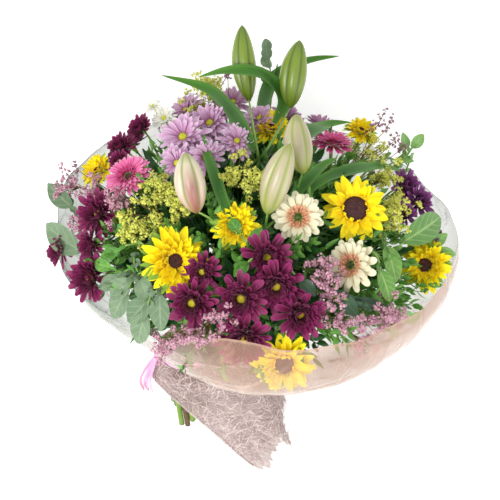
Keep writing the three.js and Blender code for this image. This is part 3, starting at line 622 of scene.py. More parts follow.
# Sunflower disc: hundreds of dry florets, nearly black maroon with rusty tips.
SUN_DISC = mottled_material("sunflower_disc_florets", [
    (0.0, "#1A0B10"), (0.6, "#34141E"), (1.0, "#5A2E1C")], 0.8)
# Sepals and bracts: rough fresh green, paler than the leaves.
BRACT = leaf_material("fresh_green_bract", "#6E9A2C", "#9CC447", "#B5D468", 0.6, 0.15, 5.0, 0.3)
# Gerbera rays: satin petals, pale at the tip and deep at the foot.
PINK_PETAL = petal_material("gerbera_petal_pink", [
    (0.0, "#B81E5E"), (0.3, "#D23F84"), (0.62, "#E0649E"), (1.0, "#EC8FB8")], "#F2B0CC", 0.45)
PINK_CENTRE = petal_material("gerbera_inner_ray_pink", [
    (0.0, "#8E0E40"), (0.6, "#BC1E66"), (1.0, "#DE5894")], "#E67AA8", 0.3)
MAGENTA_PETAL = petal_material("gerbera_petal_magenta", [
    (0.0, "#8E1248"), (0.4, "#B8286A"), (1.0, "#D4508E")], "#E280AC", 0.4)
CREAM_PETAL = petal_material("gerbera_petal_cream", [
    (0.0, "#D8BC86"), (0.25, "#E2D6AC"), (0.7, "#E8E2C4"), (1.0, "#E2DEB8")], "#F0ECD4", 0.3)
PEACH_CENTRE = petal_material("gerbera_inner_ray_peach", [
    (0.0, "#B05A3A"), (0.6, "#DB9068"), (1.0, "#EFC9A6")], "#F3D5B5", 0.3)
# Gerbera eyes: closed florets, dark and matt.
DARK_EYE = mottled_material("gerbera_eye_florets", [
    (0.0, "#221A14"), (0.6, "#3A2A1E"), (1.0, "#6E4A30")], 0.8)
GREEN_EYE = mottled_material("gerbera_eye_green_florets", [
    (0.0, "#1E2E14"), (0.6, "#34481E"), (1.0, "#6E7C38")], 0.8)
# Chrysanthemum rays: velvety, dark at the foot, with a lighter rim where the petal turns over.
BURGUNDY_PETAL = petal_material("chrysanthemum_petal_burgundy", [
    (0.0, "#40081E"), (0.35, "#660E38"), (0.75, "#801A50"), (1.0, "#902864")], "#A84E84", 0.28, 0.5)
PURPLE_PETAL = petal_material("chrysanthemum_petal_purple", [
    (0.0, "#4A1244"), (0.35, "#722A6C"), (0.75, "#8E4488"), (1.0, "#A25E9E")], "#B87EB4", 0.3, 0.5)
LILAC_PETAL = petal_material("chrysanthemum_petal_lilac", [
    (0.0, "#A85A8E"), (0.2, "#C48AB6"), (0.55, "#D2A4C8"), (1.0, "#E0C0D8")], "#EAD6E4", 0.4)
WHITE_PETAL = petal_material("chrysanthemum_petal_white", [
    (0.0, "#D8D8A8"), (0.3, "#F1F0E2"), (1.0, "#FAFAF4")], "#FFFFFF", 0.3)
YELLOW_CENTRE = mottled_material("chrysanthemum_centre_yellow", [
    (0.0, "#857A12"), (0.5, "#C9B81C"), (1.0, "#E8DC3C")], 0.7)
GREEN_CENTRE = mottled_material("chrysanthemum_centre_green", [
    (0.0, "#8A8E14"), (0.5, "#BCC41E"), (1.0, "#DDE04A")], 0.7)
# Statice: dry papery florets in tight clusters.
YELLOW_FLORET = mottled_material("statice_floret_yellow", [
    (0.0, "#C2CC40"), (0.4, "#E2E650"), (1.0, "#F6F88C")], 0.85, 300.0)
PINK_FLORET = mottled_material("statice_floret_pink", [
    (0.0, "#A8667C"), (0.45, "#D596AE"), (1.0, "#EEC4D0")], 0.85, 300.0)
DRY_FLORET = mottled_material("dry_floret_mauve", [
    (0.0, "#7A5260"), (0.5, "#A87890"), (1.0, "#C9A0B0")], 0.85, 300.0)
# Dry twig: rough and brown, with a little green left in it.
DRY_TWIG = mottled_material("dry_brown_twig", [
    (0.0, "#5A4632"), (0.6, "#84663F"), (1.0, "#9C8A50")], 0.85, 250.0)
# Lily leaves: satin blades with fine veins along them and a light edge, on smooth round stalks.
LILY_BLADE = petal_material("lily_blade_green", [
    (0.0, "#3C6A1E"), (0.4, "#2E6018"), (1.0, "#4E8428")], "#7CAA48", 0.25, 0.62, 14.0)
LILY_STALK = mottled_material("lily_stalk_green", [
    (0.0, "#4E7A30"), (0.6, "#6E9A40"), (1.0, "#8DB257")], 0.45, 120.0)
# Eucalyptus: stiff leaf with a grey-blue waxy bloom that dulls it, and fresher green when young.
EUCALYPTUS = leaf_material("eucalyptus_waxy_bloom", "#567250", "#809876", "#9AAE8C", 0.62, 0.12, 5.0, 0.5)
GREEN_OVAL = leaf_material("young_eucalyptus_green", "#6A9A4A", "#8FB86C", "#A8CA84", 0.5, 0.08, 5.0, 0.5)
# Box and privet: small glossy leaves in mid green. The shade copy is painted nearly black, as painted shade
# deep inside the bouquet.
BOX_LEAF = leaf_material("box_leaf_satin", "#34701F", "#74B044", "#9CC868", 0.4, 0.05, 5.0, 0.5)
SHADE_LEAF = leaf_material("box_leaf_painted_shade", "#1C4420", "#3C7434", "#4E8444", 0.4, 0.0, 5.0, 0.4)
SALAL = leaf_material("salal_leaf_matt", "#4A8030", "#86AE58", "#AAC880", 0.55, 0.05, 6.0, 0.7)
DARK_BLADE = leaf_material("dark_blade_satin", "#1C3A24", "#35593A", "#56785A", 0.4, 0.1, 9.0, 0.5)
# Cut stems: fresh green rind, paler towards the cut.
STEM = mottled_material("fresh_stem_rind", [(0.0, "#6B8E2E"), (0.5, "#8CAA3A"), (1.0, "#A6C254")], 0.5, 160.0)
CUT_FACE = mottled_material("cut_stem_pith", [(0.0, "#B5C48A"), (1.0, "#E0E6BE")], 0.8, 500.0)
# Raffia: a flat matt ribbon of dyed fibre, finely lined along its length.
RAFFIA = petal_material("dyed_raffia_ribbon", [
    (0.0, "#F2A9CF"), (1.0, "#F6B9D8")], "#FBD3E6", 0.25, 0.6, 30.0)
# Jute twine: two rough brown plies, dull all over.
TWINE = mottled_material("twisted_jute_twine", [
    (0.0, "#8E6F42"), (0.6, "#B79A6A"), (1.0, "#D3BB8C")], 0.9, 500.0)
# Sisal: stiff dyed fibres, dry and pale, a few of them thicker and nearly white. The loose fibres are pale as
# the sisal is, and are painted lighter than the felt under them, the thick ones most, as painted highlight on
# the top of the web.
SISAL_FIBRE = mottled_material("sisal_fibre_pink", [
    (0.0, "#C2A8A6"), (0.5, "#DAC6C3"), (1.0, "#F4EAE6")], 0.75, 200.0)
SISAL_STRAND = mottled_material("sisal_strand_pale_painted_highlight", [
    (0.0, "#EAD8D2"), (0.5, "#F6E8E4"), (1.0, "#FFF8F4")], 0.7, 200.0)

# ---- Small shapes that are copied ----
def petal_shapes(*rows):
    """A small shape for each row of what petal_points takes. A head's radius, or a leaf's length, is 1."""
    return [element("petal", sheet_mesh("petal", petal_points(*row))) for row in rows]


SUN_BROAD = petal_shapes((0.68, 0.30, 0.45, 0.5, 0.7, (6, -14), 0.14, 0, 0.12, 0.04, 8),
                         (0.58, 0.26, 0.42, 0.5, 0.75, (16, 34), 0.22, 0, 0.2, 0.06, 8))
GERBERA_RAY = petal_shapes((0.74, 0.17, 0.62, 0.35, 0.4, (8, -8), 0.1, 0, 0, 0.03, 6),
                           (0.66, 0.15, 0.62, 0.4, 0.4, (16, 4), 0.14, 0, 0, 0.03, 6))
CREAM_RAY = petal_shapes((0.72, 0.27, 0.66, 0.3, 0.42, (6, -10), 0.08, 0, 0.03, 0.04, 6),
                         (0.64, 0.24, 0.66, 0.3, 0.42, (14, 0), 0.1, 0, 0.05, 0.04, 6))
DAISY_RAY = petal_shapes((0.84, 0.235, 0.7, 0.4, 0.36, (2, 22), 0.24, 0, 0.06, 0.05, 6),
                         (0.74, 0.22, 0.7, 0.4, 0.36, (12, 50), 0.32, 0, 0.08, 0.05, 6))
FLAT_RAY = petal_shapes((0.88, 0.23, 0.66, 0.35, 0.42, (2, -6), 0.2, 0, 0.05, 0, 6),
                        (0.76, 0.21, 0.66, 0.35, 0.42, (14, 16), 0.26, 0, 0.06, 0, 6))
SUN_STANDING, BRACT_LEAF, INNER_RAY = petal_shapes(
    (0.2, 0.15, 0.5, 0.5, 0.7, (40, 110), 0.25, 0, 0.2, 0, 6),
    (0.5, 0.24, 0.3, 0.8, 0.75, (0, 30), 0.1, 0.1, 0, 0, 6),
    (0.2, 0.045, 0.7, 0.6, 0.5, (50, -10), 0.2, 0, 0, 0, 4, 2))
BOX_ELEMENT, LONG_ELEMENT, ROUND_ELEMENT, BLADE_ELEMENT = petal_shapes(
    (1, 0.46, 0.45, 0.1, 0.8, (0, -16), 0.05, 0.12, 0, 0, 5),
    (1, 0.26, 0.4, 0.1, 0.8, (0, -16), 0.05, 0.12, 0, 0, 5),
    (1, 0.8, 0.5, 0.1, 0.6, (0, -16), 0.05, 0.12, 0, 0, 5),
    (1, 0.2, 0.4, 0.1, 0.8, (4, -10), 0.05, 0.12, 0, 0, 5))


def floret_mesh(petals, reach, height, inner=0.25):
    """A small cup of pointed lobes, standing on its stalk."""
    points = [(0, 0, -0.35 * height)]
    for k in range(2 * petals):
        a = math.pi * k / petals
        r, z = (reach, height) if k % 2 == 0 else (reach * inner * 1.6, 0.35 * height)
        points.append((r * math.cos(a), r * math.sin(a), z))
    points.append((0, 0, 0.12 * height))
    count = 2 * petals
    faces = [(0, 1 + (k + 1) % count, 1 + k) for k in range(count)]
    faces += [(count + 1, 1 + k, 1 + (k + 1) % count) for k in range(count)]
    return mesh_of("floret", points, faces)


DISC_FLORET = element("disc_floret", floret_mesh(3, 0.5, 1.0))
CENTRE_FLORET = element("centre_floret", floret_mesh(4, 0.55, 0.9, 0.4))
STATICE_FLORET = element("statice_floret", floret_mesh(5, 1.0, 0.9, 0.45))


# ---- Flower heads, of unit radius about +Z ----
def disc(radius, height, finish, shape, count, size, seed):
    """A domed disc of florets, the outer ones standing taller."""
    outline = [(radius * 0.7, -0.12), (radius, 0.0), (radius * 0.96, height * 0.4),
               (radius * 0.7, height * 0.8), (radius * 0.3, height), (0.001, height)]
    florets = whorl(shape, finish, count, (0.0, radius * 0.97), (height, height * 0.35), (88, 62),
                    (size, size * 1.2), evenness=0.5, spread=0.12, seed=seed)
    return [turned(outline, finish, 18), florets]


def green_back(radius, depth, bracts, tilt, seed, size=1.0):
    """The green cup behind a head, with its pointed bracts."""
    outline = [(0.07, -depth), (radius * 0.55, -depth * 0.72), (radius, -0.1), (radius * 0.98, -0.02)]
    leaves = whorl(BRACT_LEAF, BRACT, bracts, (radius * 0.8, radius), (-0.12, -0.06), tilt, (size, size),
                   spread=0.16, seed=seed)
    return [turned(outline, BRACT, 16), leaves]


def ray_row(shape, finish, count, radii, height, tilt, size, turns=1.0, **chance):
    """One row of rays at one height, evenly spread over some turns round the head."""
    return whorl(shape, finish, count, radii, (height, height), tilt, size,
                 step=2 * math.pi / count * turns, **chance)


def broad_sunflower(seed, eye, standing):
    """An open sunflower: two rows of broad rays, and small ones that stand round the disc."""
    meshes = disc(eye, 0.12, SUN_DISC, DISC_FLORET, 190, 0.05, seed)
    meshes += green_back(0.34, 0.32, 13, (-14, -22), seed + 1)
    return meshes + [
        ray_row(SUN_BROAD[0], SUN_PETAL, 17, (eye - 0.04,) * 2, -0.04, (4, -6), (0.94, 1),
                spread=0.14, seed=seed + 2),
        ray_row(SUN_BROAD[1], SUN_PETAL, 16, (eye - 0.03,) * 2, 0.0, (20, 10), (0.9, 1),
                first=0.2, spread=0.18, seed=seed + 3),
        ray_row(SUN_STANDING, SUN_PETAL, standing, (eye, eye), 0.02, (24, 4), (0.8, 1.2),
                turns=1.02, spread=0.35, seed=seed + 4)]


def cupped_sunflower(seed, eye):
    """A half open sunflower: rows of rays, each steeper than the one outside it, in a cup of bracts."""
    meshes = disc(eye + 0.1, 0.1, SUN_DISC, DISC_FLORET, 120, 0.045, seed)
    meshes += green_back(0.4, 0.4, 20, (-6, -22), seed + 1, 1.3)
    rows = [(22, 0.42, -0.05, (10, -4), (0.84, 0.94)), (21, 0.37, 0.0, (20, 8), (0.85, 0.95)),
            (19, 0.29, 0.03, (30, 18), (0.8, 0.95)), (15, eye + 0.05, 0.05, (42, 28), (0.6, 0.8))]
    for row, (count, radius, height, tilt, size) in enumerate(rows):
        meshes.append(ray_row(SUN_BROAD[min(row, 1)], SUN_PETAL, count, (radius, radius), height, tilt,
                              size, first=0.15 * row, spread=0.2, seed=seed + 2 + row))
    return meshes


def gerbera(rays, ray_finish, inner_finish, eye_finish, seed, count):
    """A flat daisy: three rows of long rays, and a ring of short ones round its eye."""
    meshes = disc(0.13, 0.05, eye_finish, DISC_FLORET, 60, 0.035, seed)
    meshes += green_back(0.2, 0.3, 12, (10, 0), seed + 1, 0.5)
    for row in range(3):
        meshes.append(ray_row(rays[min(row, 1)], ray_finish, count, (0.22, 0.24), -0.04 + 0.03 * row,
                              (3 + 7 * row, -3 + 7 * row), (1 - 0.05 * row,) * 2,
                              first=0.157 * row, spread=0.07, seed=seed + 2 + row))
    meshes.append(whorl(INNER_RAY, inner_finish, 120, (0.13, 0.25), (0.05, 0.02), (46, 16), (0.8, 1.4),
                        evenness=0.7, spread=0.22, seed=seed + 8))
    return meshes


def chrysanthemum(rays, ray_finish, centre_finish, seed, rows, count, cup):
    """Whorls of rays, each row shorter and steeper, round a small centre of florets."""
    meshes = disc(0.16, 0.12, centre_finish, CENTRE_FLORET, 44, 0.055, seed)
    meshes += green_back(0.16, 0.5, 8, (4, -4), seed + 1, 0.4)
    for row in range(rows):
        tilt = -8 + cup + 12 * row
        meshes.append(ray_row(rays[min(row, 1)], ray_finish, count, (0.15, 0.17), -0.05 + 0.035 * row,
                              (tilt + 7, tilt - 5), (0.97 - 0.11 * row, 1.05 - 0.11 * row),
                              first=0.24 * row, spread=0.19, seed=seed + 2 + row))
    return meshes


def placed(meshes, place):
    return [(mesh, place) for mesh in meshes]


# ---- Stems, through their places in the tie ----
SPINE = [(-36, -10, FOOT_HEIGHT), (-57, -3, -228), tuple(WAIST), (-58, 0, -168), (-30, 0, -80), (0, 0, 0),
         (0, 0, 200)]
FORK_FOOT = Vector((-12, 0, -40))
rng = np.random.default_rng(7)


def spine_at(height):
    """The middle of the stems, and of the wraps, at a height."""
    above = next((i for i in range(1, len(SPINE)) if SPINE[i][2] >= height), 1)
    low, high = Vector(SPINE[above - 1]), Vector(SPINE[above])
    return low.lerp(high, (height - low.z) / (high.z - low.z))


def miss(wish, place):
    """How far a stem is from its wished place, squared. An empty place misses nothing."""
    return (wish - place).length_squared if wish else 0


def share_places(wishes):
    """Close-packed places in the tie, each stem nearest to the side that its flowers are on."""
    places = [Vector((STEM_PITCH * (q + r / 2), STEM_PITCH * r * math.sqrt(3) / 2, 0))
              for q in range(-STEM_RINGS, STEM_RINGS + 1)
              for r in range(max(-STEM_RINGS, -q - STEM_RINGS), min(STEM_RINGS, STEM_RINGS - q) + 1)]
    swapped = True
    while swapped:
        swapped = False
        for i, wish in enumerate(wishes):
            for j in range(i + 1, len(places)):
                other = wishes[j] if j < len(wishes) else None
                now = miss(wish, places[i]) + miss(other, places[j])
                then = miss(wish, places[j]) + miss(other, places[i])
                if then < now - 1e-6:
                    places[i], places[j] = places[j], places[i]
                    swapped = True
    return places


TIE_FOOT, TIE_TOP = -228, -170
STEM_LEAD = 26  # the last part of a stem, straight behind what it carries


def stem_path(place, index, end, axis):
    """A stem from its cut end through its place in the tie, and on to what it carries."""
    cut = spine_at(FOOT_HEIGHT + 14 * math.sin(index * 2.4) + 6) + place * 1.15
    points = [at_least(STEM_RADIUS + 0.6, cut)]
    points += [spine_at(h) + place * s for h, s in ((TIE_FOOT, 1.04), (WAIST_HEIGHT, 1), (TIE_TOP, 1.04))]
    arrive = end - axis * STEM_LEAD
    reach = arrive - spine_at(arrive.z)
    points += [spine_at(TIE_TOP + (arrive.z - TIE_TOP) * part) + place * 1.1 * (1 - part) + reach * part**1.5
               for part in (0.3, 0.55, 0.8)]
    return smooth_path(points + [arrive, end], 26)


def fork_under(tips):
    """Where a spray forks, under the middle of its tips, and the way its stem runs there."""
    mean = sum(tips, Vector()) / len(tips)
    return FORK_FOOT.lerp(mean, FORK_DEPTH), (mean - FORK_FOOT).normalized()


def branch_to(fork, end, end_axis):
    """A twig from a fork that arrives along an axis."""
    return smooth_path([fork, end - end_axis * (end - fork).length * 0.3, end], 8)


# ---- What grows, with the picture places read one by one ----
# Place, size in millimetres, lean, lift over the dome, kind, and for its disc the radius (and rays).
sunflowers = [
    ((355, 209), 80, (0.05, 0.1), 0, broad_sunflower, 0.38, 13),
    ((425, 265), 66, (-0.15, 0.1), 4, cupped_sunflower, 0.2),
    ((175, 261), 78, (0.35, 0.05), 0, cupped_sunflower, 0.16),
    ((235, 225), 56, (0, 0.15), -8, cupped_sunflower, 0.12),
    ((271, 127), 52, (0.1, 0.6), -8, cupped_sunflower, 0.1),
    ((97, 170), 46, (-0.6, 0.5), 0, cupped_sunflower, 0.1),
    ((284, 364), 85, (0.1, -0.35), -16, broad_sunflower, 0.28, 16),
    ((361, 130), 44, (0.3, 0.9), 0, cupped_sunflower, 0.12),
]
# Place, size, lean, (rays, finishes of rays, inner rays and eye), slot, rays in a row.
gerberas = [
    ((128, 176), 64, (-0.5, 0.75), (GERBERA_RAY, PINK_PETAL, PINK_CENTRE, DARK_EYE), "gerbera_pink", 24),
    ((332, 143), 58, (0.25, 2.2), (GERBERA_RAY, MAGENTA_PETAL, PINK_CENTRE, DARK_EYE), "gerbera_magenta", 24),
    ((298, 217), 64, (0, 0.1), (CREAM_RAY, CREAM_PETAL, PEACH_CENTRE, GREEN_EYE), "gerbera_cream", 13),
    ((351, 265), 68, (-0.7, 0.05), (CREAM_RAY, CREAM_PETAL, PEACH_CENTRE, GREEN_EYE), "gerbera_cream", 13),
]
# Rays, their finish, finish of the centre, slot, rows of rays and rays in a row.
BURGUNDY = (DAISY_RAY, BURGUNDY_PETAL, YELLOW_CENTRE, "chrysanthemum_burgundy", 5, 19)
PURPLE = (DAISY_RAY, PURPLE_PETAL, YELLOW_CENTRE, "chrysanthemum_burgundy", 5, 19)
LILAC = (FLAT_RAY, LILAC_PETAL, GREEN_CENTRE, "chrysanthemum_lilac", 4, 17)
WHITE = (FLAT_RAY, WHITE_PETAL, GREEN_CENTRE, "chrysanthemum_white", 3, 16)
# Each spray is (name, kind, heads that show, heads behind): a head that shows is (across, down, size),
# and one behind is (turn in degrees, height, size).
headed_sprays = [
    ("burgundy_chrysanthemum_centre", BURGUNDY, [(267, 257, 52), (276, 286, 58), (241, 299, 56)], []),
    ("burgundy_chrysanthemum_front", BURGUNDY,
     [(192, 303, 54), (202, 272, 42), (244, 339, 60), (300, 314, 57)], []),
    ("burgundy_chrysanthemum_left", BURGUNDY,
     [(98, 214, 54), (61, 250, 42), (90, 278, 56), (91, 245, 40)], []),
    ("burgundy_chrysanthemum_back", BURGUNDY, [(121, 147, 38), (141, 129, 38), (119, 161, 28)],
     [(-140, 62, 46), (-122, 40, 46)]),
    ("burgundy_chrysanthemum_right", PURPLE, [(405, 186, 42), (419, 202, 40), (405, 213, 30), (432, 235, 30)],
     [(122, 48, 48)]),
    ("lilac_chrysanthemum_left", LILAC, [(183, 137, 60), (177, 163, 44), (186, 110, 44), (206, 158, 42)],
     [(-158, 84, 48)]),
    ("lilac_chrysanthemum_back", LILAC, [(210, 123, 54), (237, 141, 44), (233, 102, 44), (259, 118, 36)],
     [(176, 70, 50), (160, 92, 46)]),
    ("white_chrysanthemum", WHITE, [(164, 118, 32), (153, 106, 20)], [(-170, 40, 44), (148, 58, 42)]),
]
# Finish, slot and bunches of florets in a cluster.
YELLOW = (YELLOW_FLORET, "statice_yellow", 24)
PINK = (PINK_FLORET, "statice_pink", 14)
clump_sprays = [
    ("yellow_statice_left", YELLOW, [(148, 212, 26), (159, 190, 18), (180, 204, 16), (135, 230, 16)], []),
    ("yellow_statice_right", YELLOW, [(391, 222, 18), (390, 206, 18), (382, 179, 18)], []),
    ("yellow_statice_centre", YELLOW, [(233, 174, 18), (255, 179, 18), (212, 90, 24)],
     [(138, 78, 24), (-145, 92, 22)]),
    ("pink_statice_front", PINK, [(165, 345, 20), (185, 336, 20), (205, 328, 20), (222, 318, 18)], []),
    ("pink_statice_centre", PINK, [(322, 264, 16), (326, 280, 18), (333, 299, 18), (339, 324, 18)], []),
    ("pink_statice_right", PINK, [(366, 322, 20), (383, 308, 18), (390, 318, 16), (362, 342, 18)], []),
    ("pink_statice_left", PINK, [(95, 190, 18), (118, 203, 18), (80, 228, 16), (68, 184, 18)], []),
]
# Finish, slot, how round the large leaves are, and the shape and size of the small ones.
WAXY = (EUCALYPTUS, "eucalyptus_leaf", 0.75, ROUND_ELEMENT, 13)
OVAL = (GREEN_OVAL, "eucalyptus_leaf", 0.7, ROUND_ELEMENT, 13)
BROAD = (SALAL, "dark_leaf", 0.6, BOX_ELEMENT, 16)
BOX = (BOX_LEAF, "box_leaf", 0.7, BOX_ELEMENT, 11)
BLADES = (DARK_BLADE, "dark_leaf", 0.75, BLADE_ELEMENT, 30)
# Each leaf is (place of its base, place of its tip, width in millimetres).
leaf_sprays = [
    ("eucalyptus_left", WAXY,
     [((72, 207), (46, 184), 25), ((82, 252), (42, 224), 34), ((104, 288), (82, 298), 22),
      ((132, 280), (108, 298), 24), ((128, 290), (110, 320), 25), ((150, 298), (126, 324), 27),
      ((146, 312), (136, 346), 25), ((160, 294), (160, 332), 24), ((140, 276), (150, 306), 22),
      ((120, 276), (98, 290), 18)]),
    ("eucalyptus_back", OVAL,
     [((405, 150), (404, 132), 15), ((412, 148), (424, 134), 15), ((396, 160), (414, 160), 14)]),
    ("eucalyptus_right", OVAL,
     [((432, 244), (448, 234), 15), ((436, 252), (456, 254), 15)]),
    ("eucalyptus_front", OVAL,
     [((400, 312), (414, 322), 15), ((390, 326), (398, 340), 14), ((404, 320), (424, 314), 14)]),
    ("salal_right", BROAD,
     [((403, 242), (447, 214), 34), ((386, 246), (398, 282), 24), ((380, 270), (392, 302), 22)]),
    ("box_leaves_centre", BOX,
     [((240, 234), (228, 216), 14), ((250, 244), (262, 228), 14), ((248, 262), (234, 276), 14)]),
    ("dark_blades_front", BLADES,
     [((350, 300), (392, 310), 16), ((336, 290), (360, 318), 18), ((300, 280), (316, 296), 16)]),
    ("box_leaves_left", BOX,
     [((120, 250), (98, 260), 16), ((112, 268), (92, 262), 16), ((132, 236), (116, 224), 16)]),
]
# Each lily is (name, place of its fork, width of its leaves, buds, leaves), each bud (place of its base,
# place of its tip, a place its stalk passes, width, how far its tip comes forward, kind), and each leaf
# the places along it.
lilies = [
    ("lily_stem_back", (259, 160), 18,
     [((249, 101), (242, 28), (255, 138), 32, 18, "green"),
      ((290, 108), (299, 43), (272, 142), 36, 18, "green")],
     [[(252, 146), (240, 124), (225, 104), (205, 88), (161, 75)],
      [(284, 100), (268, 78), (250, 71), (225, 71), (198, 77)],
      [(262, 112), (270, 84), (284, 70), (312, 60), (340, 56)],
      [(293, 147), (310, 132), (330, 124), (350, 122)]]),
    ("lily_stem_centre", (258, 236), 14,
     [((267, 214), (287, 153), (265, 226), 36, 34, "cream"),
      ((303, 174), (296, 120), (290, 205), 36, 14, "cream"),
      ((197, 213), (187, 160), (226, 226), 38, 20, "blush")],
     [[(228, 212), (216, 180), (206, 150), (204, 134)],
      [(306, 182), (322, 166), (337, 158)],
      [(322, 180), (350, 170), (380, 166), (402, 171)]]),
]
BUD_LIFT = 16
LILY_FORK_LIFT = -24
BUD_STALK_LIFT = {"green": 4, "cream": -22, "blush": -22}

# Each plan is (name, fork, axis, twig paths, other meshes, finish of the stem, slot).
plans = []


def any_spin():
    return float(rng.uniform(0, 6.28))


def single_flower(name, at, size, lean, lift, meshes, slot):
    """A head at its place, with a stem of its own behind it."""
    centre, axis = on_dome(at, lift), facing(lean)
    head = join(name + "_head", placed(meshes, head_place(centre, axis, any_spin(), size / 2)))
    finished(head, slot, name + "_head")
    plans.append((name + "_stem", centre - axis * 0.34 * size / 2, axis, [], [], STEM, "green_stem"))


for number, (at, size, lean, lift, make, *disc_shape) in enumerate(sunflowers):
    single_flower(f"sunflower_{number + 1}", at, size, lean, lift, make(100 * number + 3, *disc_shape),
                  "sunflower_petal")
for number, (at, size, lean, finish, slot, count) in enumerate(gerberas):
    single_flower(f"gerbera_{number + 1}", at, size, lean, 0,
                  gerbera(*finish, 900 + 20 * number, count), slot)


FULL_HEAD = 1.12  # a spray's heads open a little past the size read in the picture


def heads_of(visible, hidden):
    """(centre, way it faces, size) of each head of a spray."""
    heads = [(on_dome((x, y)), facing(lean_at((x, y))), size) for x, y, size in visible]
    return heads + [(*behind(turn, height), size) for turn, height, size in hidden]


for number, (name, kind, visible, hidden) in enumerate(headed_sprays):
    rays, ray_finish, centre_finish, slot, rows, count = kind
    heads = heads_of(visible, hidden)
    fork, axis = fork_under([centre for centre, _, _ in heads])
    twigs = [branch_to(fork, centre - way * 0.12 * size, way) for centre, way, size in heads]
    meshes = []
    for k, (centre, way, size) in enumerate(heads):
        seed = 2000 + 200 * number + 20 * k
        tipped = (way + Vector(rng.normal(0, 0.1, 3))).normalized()
        cup = float(rng.uniform(-3, 9))
        head = chrysanthemum(rays, ray_finish, centre_finish, seed, rows, count, cup)
        meshes += placed(head, head_place(centre, tipped, any_spin(), size / 2 * FULL_HEAD))
    plans.append((name, fork, axis, twigs, meshes, STEM, slot))


STATICE_SIZE = 1.8
FLORETS_IN_BUNCH = 15
HAIR_RADIUS = 0.45
FULL_CLUSTER = 1.25


def floret_cluster(centre, way, size, finish, fullness, seed):
    """Little bunches of florets on hair-thin stalks, filling a ball round the centre."""
    local = np.random.default_rng(seed)
    bunches = [centre + Vector(local.normal(0, 0.4 * size, 3)) + way * 0.1 * size for _ in range(fullness)]
    points, ways = [], []
    for bunch in bunches:
        for _ in range(FLORETS_IN_BUNCH):
            out = (Vector(local.normal(0, 1, 3)).normalized() + way * 0.8).normalized()
            points.append(bunch + out * float(local.uniform(0.08, 0.24)) * size)
            ways.append(out)
    florets = scatter_florets(points, ways, finish, STATICE_SIZE, seed)
    foot, middle = centre - way * size * 0.9, centre - way * size * 0.5
    stalks = [(smooth_path([foot, (middle + bunch) / 2, bunch], 4), HAIR_RADIUS) for bunch in bunches]
    return [florets, tubes(stalks, DRY_TWIG, 4)]


for number, (name, (finish, slot, fullness), visible, hidden) in enumerate(clump_sprays):
    heads = heads_of(visible, hidden)
    fork, axis = fork_under([centre for centre, _, _ in heads])
    twigs = [branch_to(fork, centre - way * size * 0.5, way) for centre, way, size in heads]
    meshes = []
    for k, (centre, way, size) in enumerate(heads):
        meshes += floret_cluster(centre, way, size * FULL_CLUSTER, finish, fullness, 5000 + 40 * number + k)
    plans.append((name, fork, axis, twigs, meshes, DRY_TWIG, slot))


def leaf_place(base, tip, outward):
    """The frame of a leaf that runs from base to tip and turns its face outward."""
    along = (tip - base).normalized()
    side = outward.cross(along).normalized()
    up = along.cross(side)
    place = Matrix((along, side, up)).transposed().to_4x4()
    place.translation = base
    return place


for number, (name, (finish, slot, roundness, shape, small), leaves) in enumerate(leaf_sprays):
    spans = [(on_dome(base, -4), on_dome(tip, 2), width) for base, tip, width in leaves]
    fork, axis = fork_under([base for base, _, _ in spans])
    twigs = [branch_to(fork, base, (tip - base).normalized()) for base, tip, _ in spans]
    meshes = []
    for k, (base, tip, width) in enumerate(spans):
        length = (tip - base).length
        points = petal_points(length, width, 0.45, 0.1, roundness, (8, -18), 0.05, 0.1, 0.02, 0, 12, 8)
        tone = 0.3 + 0.5 * ((k * GOLDEN_SHARE) % 1)
        blade = sheet_mesh("blade", points, finish, tone=tone)
        meshes.append((blade, leaf_place(base, tip, (dome_way(base) + TOWARDS_EYE).normalized())))
    meshes.append(sprigs(twigs, shape, finish, small * 0.55, 0.45, 42, (small, small * 0.8),
                         seed=7000 + number))
    plans.append((name, fork, axis, twigs, meshes, LILY_STALK, slot))


# ---- Lilies ----
def bud_material(name, skin, seam, blush=None):
    """Lily bud: a waxy skin in six lobes, with greener seams between them and, on one, a red blush."""
    material, tree, shader = new_material(name, 0.38, Coat_Weight=0.25, Coat_Roughness=0.25,
                                          Subsurface_Weight=0.15, Subsurface_Scale=0.004)
    uv, along, around = sheet_places(tree)
    body = add_node(tree, "ShaderNodeValToRGB", {"Fac": along}, skin).outputs["Color"]
    wave = add_node(tree, "ShaderNodeMath", {0: around, 1: 6 * math.pi}, operation="MULTIPLY")
    wave = add_node(tree, "ShaderNodeMath", {0: wave}, operation="COSINE")
    wave = add_node(tree, "ShaderNodeMath", {0: wave}, operation="ABSOLUTE")
    streak = add_node(tree, "ShaderNodeVectorMath", {0: uv, 1: (1.5, 40.0, 1.0)}, operation="MULTIPLY")
    noise = add_node(tree, "ShaderNodeTexNoise", {"Vector": streak, "Scale": 1.0, "Detail": 4.0})
    line = add_node(tree, "ShaderNodeMapRange", {0: wave, 1: 0.86, 2: 1.0, 3: 0.0, 4: 0.75})
    seamed = add_node(tree, "ShaderNodeMix", {0: line, 6: body, 7: linear(seam)}, data_type="RGBA")
    if blush:
        patch = add_node(tree, "ShaderNodeMapRange", {
            0: away_from(tree, 0.26, around), 1: 0.02, 2: 0.12, 3: 0.75, 4: 0.0})
        low = add_node(tree, "ShaderNodeMapRange", {0: along, 1: 0.5, 2: 0.85, 3: 1.0, 4: 0.0})
        patch = add_node(tree, "ShaderNodeMath", {0: patch, 1: low}, operation="MULTIPLY")
        seamed = add_node(tree, "ShaderNodeMix", {0: patch, 6: seamed, 7: linear(blush)}, data_type="RGBA")
    shade = add_node(tree, "ShaderNodeMapRange", {0: noise, 1: 0.3, 2: 0.7, 3: 0.92, 4: 1.06})
    toned = add_node(tree, "ShaderNodeHueSaturation", {"Value": shade, "Color": seamed})
    give_skin(tree, shader, toned.outputs["Color"], noise, 0.25, 0.0005)
    return material


